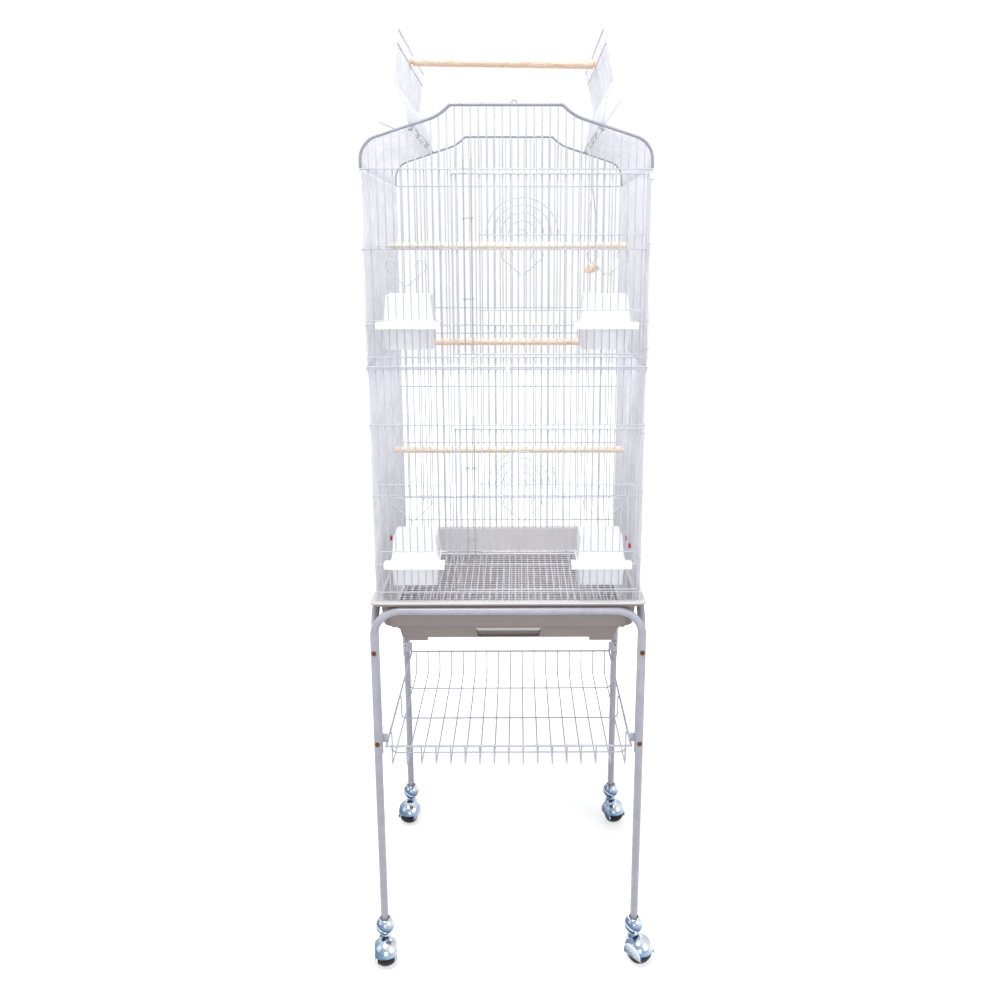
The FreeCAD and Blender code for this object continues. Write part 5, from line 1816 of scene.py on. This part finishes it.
@dataclass
class Base:
    """Moulded base with its tray, the wire floor and the red clips."""

    datum: Datum
    outer: tuple[float, float] = (240.0, 228.0)
    pocket: tuple[float, float] = (222.0, 209.5)
    taper: float = 8.0
    outer_taper: float = 3.0
    wall: float = 3.0
    rim_thick: float = 9.0
    depth: float = 51.5
    ledge: float = 9.5
    rim_edge: Rows = (
        (-6.9, 5.5, -9.0), (-6.5, 5.5, -8.6), (-6.5, 5.5, -4.4), (-0.6, 11.4, -4.4),
        (0.0, 12.0, -3.8), (0.0, 12.0, -2.0), (-0.6, 11.4, -1.0), (-1.8, 10.2, -0.4),
        (-3.2, 9.0, 0.0))
    mouth: Rows = ((2.0, 21.0, 0.0), (0.6, 19.6, -0.6), (0.0, 19.0, -2.0))
    bed: Rows = ((0.2, 19.0, 1.2), (-1.0, 18.0, 0.0))
    opening: Rows = ((0.0, 1.5, 3.0), (0.0, 1.5, 0.0))
    sole: Rows = ((-3.0, 19.0, 0.0), (-0.9, 21.1, 0.9), (0.0, 22.0, 3.0))
    throat: Rows = ((0.0, 22.0, -0.6), (0.8, 22.8, 0.0))
    runner: float = 2.5
    runner_reach: float = 6.5
    # Painted highlight on the finger recess: height of its top above the tray's foot, then its half
    # widths at top and bottom, its height and its thickness.
    pull_highlight_height: float = 27.0
    pull_highlight: tuple[float, float, float, float] = (59.0, 54.0, 5.4, 0.6)

    def tub_skin(self) -> Piece:
        """Skin of the base: rim, walls, ledge and the open floor.

        Each row of a profile is a section: how far outside its outline, its corner radius and
        its height above its level.

        Returns:
            The closed skin.
        """
        top, floor = self.datum.rim, self.datum.rim - self.depth
        runs = ((self.outer, 0.0, top, self.rim_edge), (self.pocket, 0.0, top, self.mouth),
                (self.pocket, -self.taper, floor + self.wall, self.bed),
                (self.pocket, -self.taper - self.ledge, floor, self.opening),
                (self.pocket, self.wall - self.outer_taper, floor, self.sole),
                (self.pocket, self.wall, top - self.rim_thick, self.throat))
        sections = [Section(half_x + grown + out, half_y + grown + out, corner, level + rise)
                    for (half_x, half_y), grown, level, profile in runs
                    for out, corner, rise in profile]
        return loft("tub_skin", sections, self.datum.at(0, 0, 0), looped=True, steps=10)

    def build_tub(self) -> None:
        """Build the base with the two runners that carry the tray."""
        skin = dressed(self.tub_skin(), Finish.BASE, sharp=40)
        # Painted light and shade: faces above the floor that look up or inward get the paler copy,
        # painted light; the outer walls keep the darker copy, painted shade.
        skin.data.materials.append(Finish.BASE_PAINTED_LIGHT.made())
        middle = self.datum.at(0, 0, 0)
        for face in skin.data.polygons:
            level = Vector((face.normal.x, face.normal.y, 0))
            inward = (middle - face.center).dot(level) > 0.02 * MM
            high = face.center.z > (self.datum.rim - self.depth + self.wall / 2) * MM
            if high and (face.normal.z > 0.5 or inward):
                face.material_index = 1
        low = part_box("base_tub")[0].z / MM
        hole_x, hole_y = (half - self.taper - self.ledge for half in self.pocket)
        floor = self.datum.rim - self.depth
        near, far = hole_x + self.runner, hole_x - self.runner_reach
        parts = [skin]
        for side in (-1, 1):
            for inner, top in ((hole_x, floor + 1), (far, low + self.runner)):
                xs = sorted((side * inner, side * near))
                runner = block("runner", self.datum.at(xs[0], -hole_y, low),
                               self.datum.at(xs[1], hole_y, top))
                parts.append(softened(runner, 0.4, Finish.BASE))
        present(joined("base_tub_moulding", parts), "cage", "base_plastic", "base_tub")

    def build_grille(self) -> None:
        """Draw the wire floor."""
        work = WireWork()
        work.trace("floor_grille")
        work.weld()
        piece = work.draw("floor_grille_wires", Finish.WIRE_PAINTED_LIGHT, sides=8)
        present(piece, "floor_grille", "wire", "floor_grille")

    def pull_highlight_strip(self) -> Piece:
        """Painted highlight: a pale strip along the top of the tray's finger recess, narrower below.

        Returns:
            The strip.
        """
        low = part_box("slide_out_tray")[0]
        top = low.z + self.pull_highlight_height * MM
        wide, narrow, tall, thick = (size * MM for size in self.pull_highlight)
        work = bmesh.new()
        rings = []
        for y in (low.y - thick, low.y + thick):
            line = ((-wide, top), (wide, top), (narrow, top - tall), (-narrow, top - tall))
            rings.append([work.verts.new((self.datum.x + x, y, z)) for x, z in line])
        front, rear = rings
        work.faces.new(front)
        work.faces.new(rear[::-1])
        for k in range(4):
            after = (k + 1) % 4
            work.faces.new((front[k], rear[k], rear[after], front[after]))
        bmesh.ops.recalc_face_normals(work, faces=work.faces)
        return softened(from_work("pull_highlight", work), 0.3, Finish.BASE_PAINTED_LIGHT)

    def build(self) -> None:
        """Build the base and what goes into it."""
        self.build_tub()
        tray = rounded_copy("slide_out_tray", 0.7, Finish.BASE, segments=3)
        tray = joined("slide_out_tray_moulding", [tray, self.pull_highlight_strip()])
        present(tray, "slide_out_tray", "base_plastic", "slide_out_tray")
        self.build_grille()
        clips = rounded_copy("red_clips", 1.2, Finish.RED, segments=3)
        clips.name = "red_clip_mouldings"
        present(clips, "cage", "red_plastic", "red_clips")


# ---------------------------------------------------------------- stand

@dataclass
class Stand:
    """Rolling stand of bent tube, with its bolts, nuts, basket and caster sockets."""

    datum: Datum
    tube: float = 7.0
    bend: float = 48.0
    leg_x: float = 235.0
    leg_y: float = 222.0
    rail: float = 703.7
    foot: float = 62.0
    short_foot: float = 423.0
    bolt_levels: tuple[float, float] = (451.0, 627.0)
    bolt: float = 2.4
    head: float = 4.6
    head_height: float = 2.6
    nut: float = 4.6
    nut_thick: float = 3.6
    nut_gap: float = 2.1
    thread: float = 2.0
    basket_wire: float = 1.3
    basket_bends: tuple[float, float, float] = (8.0, 20.0, 10.0)
    collar: float = 17.4
    collar_height: float = 71.5
    collar_half: float = 15.5
    socket_lip: Rows = (
        (3.0, 4.6), (2.4, 4.1), (1.6, 4.7), (0.5, 4.6), (0.0, 3.9), (0.0, 2.6), (0.7, 2.0),
        (5.0, 1.6), (5.4, 0.05))

    def short_leg_y(self) -> float:
        """Depth of the side frames' short legs."""
        return self.leg_y - 2 * self.tube - 0.2

    def build_frames(self) -> None:
        """Draw the four bent tubes."""
        for side, name in ((-1, "front"), (1, "rear")):
            y = side * self.leg_y
            corners = [(-self.leg_x, y, self.foot), (-self.leg_x, y, self.rail),
                       (self.leg_x, y, self.rail), (self.leg_x, y, self.foot)]
            self.draw_tube(corners, name)
        inner = self.short_leg_y()
        for side, name in ((-1, "left"), (1, "right")):
            x = side * self.leg_x
            corners = [(x, -inner, self.short_foot), (x, -inner, self.rail), (x, inner, self.rail),
                       (x, inner, self.short_foot)]
            self.draw_tube(corners, name)

    def draw_tube(self, corners: list[tuple[float, float, float]], name: str) -> None:
        """Draw one bent tube.

        Args:
            corners: Corners of its middle line.
            name: Side of the stand.
        """
        work = WireWork()
        places = [self.datum.at(*corner) for corner in corners]
        path = rounded_path(places, self.bend * MM, steps=16)
        work.places = path
        work.edges = [(k, k + 1) for k in range(len(path) - 1)]
        work.radii = [self.tube * MM] * len(path)
        work.beads = [0.0] * len(path)
        piece = work.draw(f"stand_{name}_tube", Finish.TUBE, sides=32)
        dressed(bevelled(piece, width=0.6, least=60, segments=2), Finish.TUBE, sharp=60)
        present(piece, "cage", "stand_coat", f"stand_{name}_frame")

    def build_fixings(self) -> None:
        """Build the bolts with domed heads and the nuts inside the legs."""
        heads, shanks, nuts = [], WireWork(), []
        end = self.short_leg_y() - self.tube - self.nut_gap
        profile = [(0.0, self.nut - 0.5), (0.4, self.nut), (self.nut_thick - 0.4, self.nut),
                   (self.nut_thick, self.nut - 0.5)]
        for x, side, z in product((-self.leg_x, self.leg_x), (-1, 1), self.bolt_levels):
            head = self.datum.at(x, side * (self.leg_y + self.tube + 0.05), z)
            tip = self.datum.at(x, side * (end - self.nut_thick - self.thread), z)
            heads.append(head)
            shanks.line([head, tip], self.bolt * MM)
            nut = turned("nut", profile, self.datum.at(x, side * end, z), BACK * -side, steps=6)
            nuts.append(dressed(nut, Finish.STEEL, sharp=20))
        sizes = {"Head Radius": self.head * MM, "Head Height": self.head_height * MM}
        domes = bolt_head_tree().put_on(new_piece("heads", edge_mesh("heads", heads, [])),
                                        Material=Finish.COPPER.made(), **sizes)
        rods = shanks.draw("shanks", Finish.COPPER, sides=16)
        present(joined("stand_bolt_set", [domes, rods]), "cage", "bolt_metal", "stand_bolts")
        present(joined("stand_nut_set", nuts), "cage", "nut_steel", "stand_nuts")

    def build_basket(self) -> None:
        """Draw the basket: rails, wires bent up at both ends, and its four lugs."""
        work, plates, uprights, flat = WireWork(), [], [], []
        for points in loose_parts(bpy.data.objects["storage_basket"].data):
            rod = as_wire(points)
            if rod is None:
                lug = block("lug", Vector(points.min(0)), Vector(points.max(0)))
                plates.append(softened(lug, 0.5, Finish.BASKET))
            elif rod.radius > 1.2 * self.basket_wire * MM:
                work.bar(rod.start, rod.end, rod.radius)
            elif abs(rod.end.z - rod.start.z) > (rod.end - rod.start).length / 2:
                foot, tip = sorted((rod.start, rod.end), key=lambda end: end.z)
                uprights.append(Wire(foot, tip, rod.radius))
            else:
                flat.append(rod)
        for rod in flat:
            self.draw_basket_wire(work, rod, uprights)
        work.weld()
        wires = work.draw("basket", Finish.BASKET, sides=10)
        present(joined("storage_basket_wires", [wires, *plates]), "cage", "stand_coat",
                "storage_basket")

    def draw_basket_wire(self, work: WireWork, rod: Wire, uprights: list[Wire]) -> None:
        """Draw one floor wire of the basket in one run with the two ends that stand up from it.

        Args:
            work: Wires of the basket.
            rod: The wire's straight run along the floor.
            uprights: All standing ends, from the foot up.
        """
        deep = abs(rod.end.y - rod.start.y) > abs(rod.end.x - rod.start.x)
        ends = sorted((rod.start, rod.end), key=lambda end: end.y if deep else end.x)
        near, far = (min(uprights, key=lambda upright: (upright.start - end).length)
                     for end in ends)
        lift = Vector((0, 0, rod.radius))
        front, rear, across = (bend * MM for bend in self.basket_bends)
        corners = [near.end, near.start + lift, far.start + lift, far.end]
        work.bent(corners, [front, rear] if deep else [across, across], rod.radius, steps=8)
        work.straight += [rod, near, far]

    def collar_profile(self) -> Points:
        """Profile of a socket: a ball cut flat below, and above it an open ring round the tube.

        Returns:
            Height above the ball's middle and radius of each point.
        """
        rise = math.sqrt(self.collar ** 2 - self.collar_half ** 2)
        low, steps = math.asin(self.collar_half / self.collar), 14
        profile = [(-self.collar_half, 4.0), (-self.collar_half, rise - 0.6)]
        for k in range(steps + 1):
            angle = -low + 2 * low * k / steps
            profile.append((self.collar * math.sin(angle), self.collar * math.cos(angle)))
        profile = [point for point in profile if point[0] < self.collar_half - 3.5]
        return profile + [(self.collar_half - down, self.tube + out)
                          for down, out in self.socket_lip]

    def build_collars(self) -> None:
        """Turn the round sockets at the feet."""
        parts = []
        for x, y in product((-self.leg_x, self.leg_x), (-self.leg_y, self.leg_y)):
            ball = turned("collar", self.collar_profile(), self.datum.at(x, y, self.collar_height),
                          UP)
            parts.append(dressed(ball, Finish.CHROME, sharp=35))
        present(joined("caster_collar_set", parts), "cage", "collar_chrome", "caster_collars")

    def build(self) -> None:
        """Build the whole stand."""
        self.build_frames()
        self.build_fixings()
        self.build_basket()
        self.build_collars()


@dataclass
class Casters:
    """Hooded ball casters."""

    datum: Datum
    stand: Stand
    trail: float = 15.0
    wheel: float = 25.0
    wheel_half: float = 16.0
    wheel_ease: float = 1.4
    hood: float = 28.3
    hood_half: float = 20.5
    hood_ease: float = 1.6
    skin: float = 2.2
    core_ease: float = 1.0
    cheek: float = 2.6
    edge: float = 19.0
    brow: float = 29.5
    neck_foot: Rows = ((0.0, 7.0), (12.0, 13.5), (22.0, 12.6))
    neck_head: Rows = ((-4.0, 10.2), (-0.8, 9.4), (0.0, 8.6))
    neck_gap: float = 0.3
    stem: float = 3.5
    axle: float = 2.5
    cap: Rows = ((0.0, 6.0), (0.25, 6.0), (0.55, 5.4), (0.6, 4.0))
    cap_sunk: float = 0.55
    clear: float = 60.0
    places: dict[str, tuple[int, int, float]] = field(default_factory=lambda: {
        "front_left": (-1, -1, 8.0), "front_right": (1, -1, 42.0),
        "rear_left": (-1, 1, -14.0), "rear_right": (1, 1, 22.0)})

    def barrel(self, radius: float, half: float, rounding: float, steps: int = 17) -> Points:
        """Profile of a ball cut flat on both sides.

        Args:
            radius: Radius of the rolling line.
            half: Half width.
            rounding: Rounding of the flat sides' edges.
            steps: Points over the width.

        Returns:
            Distance along the axle and radius of each point.
        """
        rise = math.sqrt(radius ** 2 - half ** 2)
        points = [(-half, rise - rounding)]
        for k in range(steps):
            x = (half - rounding * 0.4) * (2 * k / (steps - 1) - 1)
            points.append((x, math.sqrt(radius ** 2 - x ** 2)))
        return points + [(half, rise - rounding)]

    def hood_shell(self, leg: Vector, hub: Vector, turn: Matrix) -> Piece:
        """Hood with its flared neck, open below and cut away in front of and behind the wheel.

        Args:
            leg: Place of the leg on the floor.
            hub: Middle of the wheel.
            turn: Turn of the caster.

        Returns:
            The shell.
        """
        axle = turn @ RIGHT
        dome = self.barrel(self.hood, self.hood_half, self.hood_ease)
        shell = turned("hood", dome, hub, axle, steps=64)
        flare = [(self.wheel + rise, radius) for rise, radius in self.neck_foot]
        flare += [(self.neck_top() + rise, radius) for rise, radius in self.neck_head]
        neck = turned("neck", flare, leg, UP, steps=40)
        hollow = self.barrel(self.hood - self.skin, self.hood_half - self.skin, self.core_ease)
        core = turned("core", hollow, hub, axle, steps=64)
        clear, inner = self.clear, self.hood_half - self.cheek
        under = block("under", hub - Vector((clear, clear, clear)) * MM,
                      hub + Vector((clear, clear, self.edge - self.wheel)) * MM)
        window = block("window", Vector((-inner, -clear, -clear)) * MM,
                       Vector((inner, clear, self.brow - self.wheel)) * MM)
        window.data.transform(Matrix.Translation(hub) @ turn.to_4x4())
        return softened(carve(shell, [neck], [core, under, window]), 0.5, Finish.CHROME,
                        segments=2)

    def neck_top(self) -> float:
        """Height of the neck's top, just under the socket."""
        return self.stand.collar_height - self.stand.collar_half - self.neck_gap

    def build_caster(self, name: str, foot: tuple[float, float], yaw: float) -> None:
        """Build one hood with its stem, axle and axle caps, and its wheel.

        Args:
            name: Corner of the stand.
            foot: Place of the leg.
            yaw: Turn of the caster in degrees.
        """
        turn = Matrix.Rotation(math.radians(yaw), 3, "Z")
        leg = self.datum.at(foot[0], foot[1], 0)
        hub = leg + turn @ Vector((0, -self.trail, self.wheel)) * MM
        axle = turn @ RIGHT
        hood = self.hood_shell(leg, hub, turn)
        pin = [(self.neck_top() - 1, self.stem), (self.stand.foot - 1.5, self.stem),
               (self.stand.foot - 1, self.stem - 0.5)]
        stem = turned("stem", pin, leg, UP, steps=24)
        end = self.hood_half - 1
        rod = turned("axle", [(-end, self.axle), (end, self.axle)], hub, axle, steps=24)
        out = (self.hood_half - self.cap_sunk) * MM
        caps = [turned("cap", list(self.cap), hub + axle * side * out, axle * side, steps=32)
                for side in (-1, 1)]
        metal = [dressed(part, Finish.CHROME, sharp=40) for part in (stem, rod, *caps)]
        node = "caster_hood_" + name
        present(joined(node + "_shell", [hood, *metal]), node, "collar_chrome", node)
        tread = self.barrel(self.wheel, self.wheel_half, self.wheel_ease, steps=21)
        wheel = turned("wheel", tread, hub, axle, steps=64)
        dressed(wheel, Finish.BLACK, sharp=35)
        node = "caster_wheel_" + name
        present(joined(node + "_tyre", [wheel]), node, "wheel_black", node)

    def build(self) -> None:
        """Build all four casters."""
        for name, (side_x, side_y, yaw) in self.places.items():
            self.build_caster(name, (side_x * self.stand.leg_x, side_y * self.stand.leg_y), yaw)


# ---------------------------------------------------------------- studio

@dataclass
class Studio:
    """Floor, light and camera."""

    camera_place: tuple[float, float, float] = (0.0116, -1.7197, 1.320)
    camera_turn: tuple[float, float, float] = (76.9, 0.0, -0.364)
    lens: float = 33.33
    shift: tuple[float, float] = (-0.0228, -0.0381)
    aim: tuple[float, float, float] = (0.0, 0.0, 0.85)
    lamps: tuple[tuple[str, tuple[float, float, float], float, float], ...] = (
        ("key", (-0.3, -1.2, 3.8), 1.3, 84.0), ("fill", (2.3, -1.5, 1.7), 1.8, 18.0),
        ("left", (-2.4, -0.9, 1.8), 1.8, 12.0), ("front", (0.2, -3.0, 1.1), 1.6, 14.0),
        ("rear", (0.4, 2.2, 2.6), 1.8, 12.0))
    sky: tuple[float, float, float] = (0.93, 0.94, 1.0)
    sky_strength: float = 0.46
    floor_size: float = 9.0
    floor_level: float = -0.0002

    def build_floor(self) -> None:
        """Lay the pale floor."""
        work = bmesh.new()
        bmesh.ops.create_grid(work, x_segments=8, y_segments=8, size=self.floor_size)
        for corner in work.verts:
            corner.co.z = self.floor_level
        floor = from_work("studio_floor", work)
        floor.data.materials.append(Finish.SWEEP.made())

    def build_world(self) -> None:
        """Even white light, plain white to the camera."""
        world = bpy.data.worlds.new("studio_world")
        bpy.context.scene.world = world
        world.use_nodes = True
        tree = world.node_tree
        tree.nodes.clear()
        soft = add_node(tree, "ShaderNodeBackground",
                        {"Color": (*self.sky, 1.0), "Strength": self.sky_strength})
        white = add_node(tree, "ShaderNodeBackground",
                         {"Color": (1.0, 1.0, 1.0, 1.0), "Strength": 1.0})
        mix = tree.nodes.new("ShaderNodeMixShader")
        for source, entry in zip((seen_plainly(tree), soft.outputs[0], white.outputs[0]),
                                 mix.inputs):
            tree.links.new(source, entry)
        add_node(tree, "ShaderNodeOutputWorld", {"Surface": mix.outputs[0]})

    def lamp(self, name: str, place: tuple[float, float, float], size: float, power: float) -> None:
        """Hang a soft square lamp that faces the cage.

        Args:
            name: Lamp name.
            place: Its place, in metres.
            size: Side of the square.
            power: Its power in watts.
        """
        light = bpy.data.lights.new(name, "AREA")
        light.shape, light.size, light.energy = "SQUARE", size, power
        lamp = bpy.data.objects.new(name, light)
        lamp.location = place
        aim = Vector(self.aim) - Vector(place)
        lamp.rotation_euler = aim.to_track_quat("-Z", "Y").to_euler()
        bpy.context.scene.collection.objects.link(lamp)

    def build_camera(self) -> None:
        """Set up the camera."""
        data = bpy.data.cameras.new("camera")
        data.sensor_width, data.lens = 36.0, self.lens
        data.shift_x, data.shift_y = self.shift
        camera = bpy.data.objects.new("camera", data)
        camera.location = self.camera_place
        camera.rotation_euler = [math.radians(angle) for angle in self.camera_turn]
        bpy.context.scene.collection.objects.link(camera)
        bpy.context.scene.camera = camera

    def build(self) -> None:
        """Build the studio."""
        self.build_camera()
        self.build_floor()
        self.build_world()
        for lamp in self.lamps:
            self.lamp(*lamp)
        bpy.context.scene.view_settings.view_transform = "Standard"


def main() -> None:
    """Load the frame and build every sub-assembly."""
    logging.basicConfig(level=logging.INFO, format="%(message)s")
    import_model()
    datum = Datum.read()
    Studio().build()
    roof, stand = Roof(datum), Stand(datum)
    assemblies = [FlatPanels(), roof, SwingDoors(), SlidingDoors(), PlayTop(datum, roof),
                  Swing(datum, roof), Perches(), Feeders(), Base(datum), stand,
                  Casters(datum, stand)]
    for assembly in assemblies:
        LOG.info("building %s", type(assembly).__name__)
        assembly.build()
    bpy.context.view_layer.update()


if __name__ == "__main__":
    main()
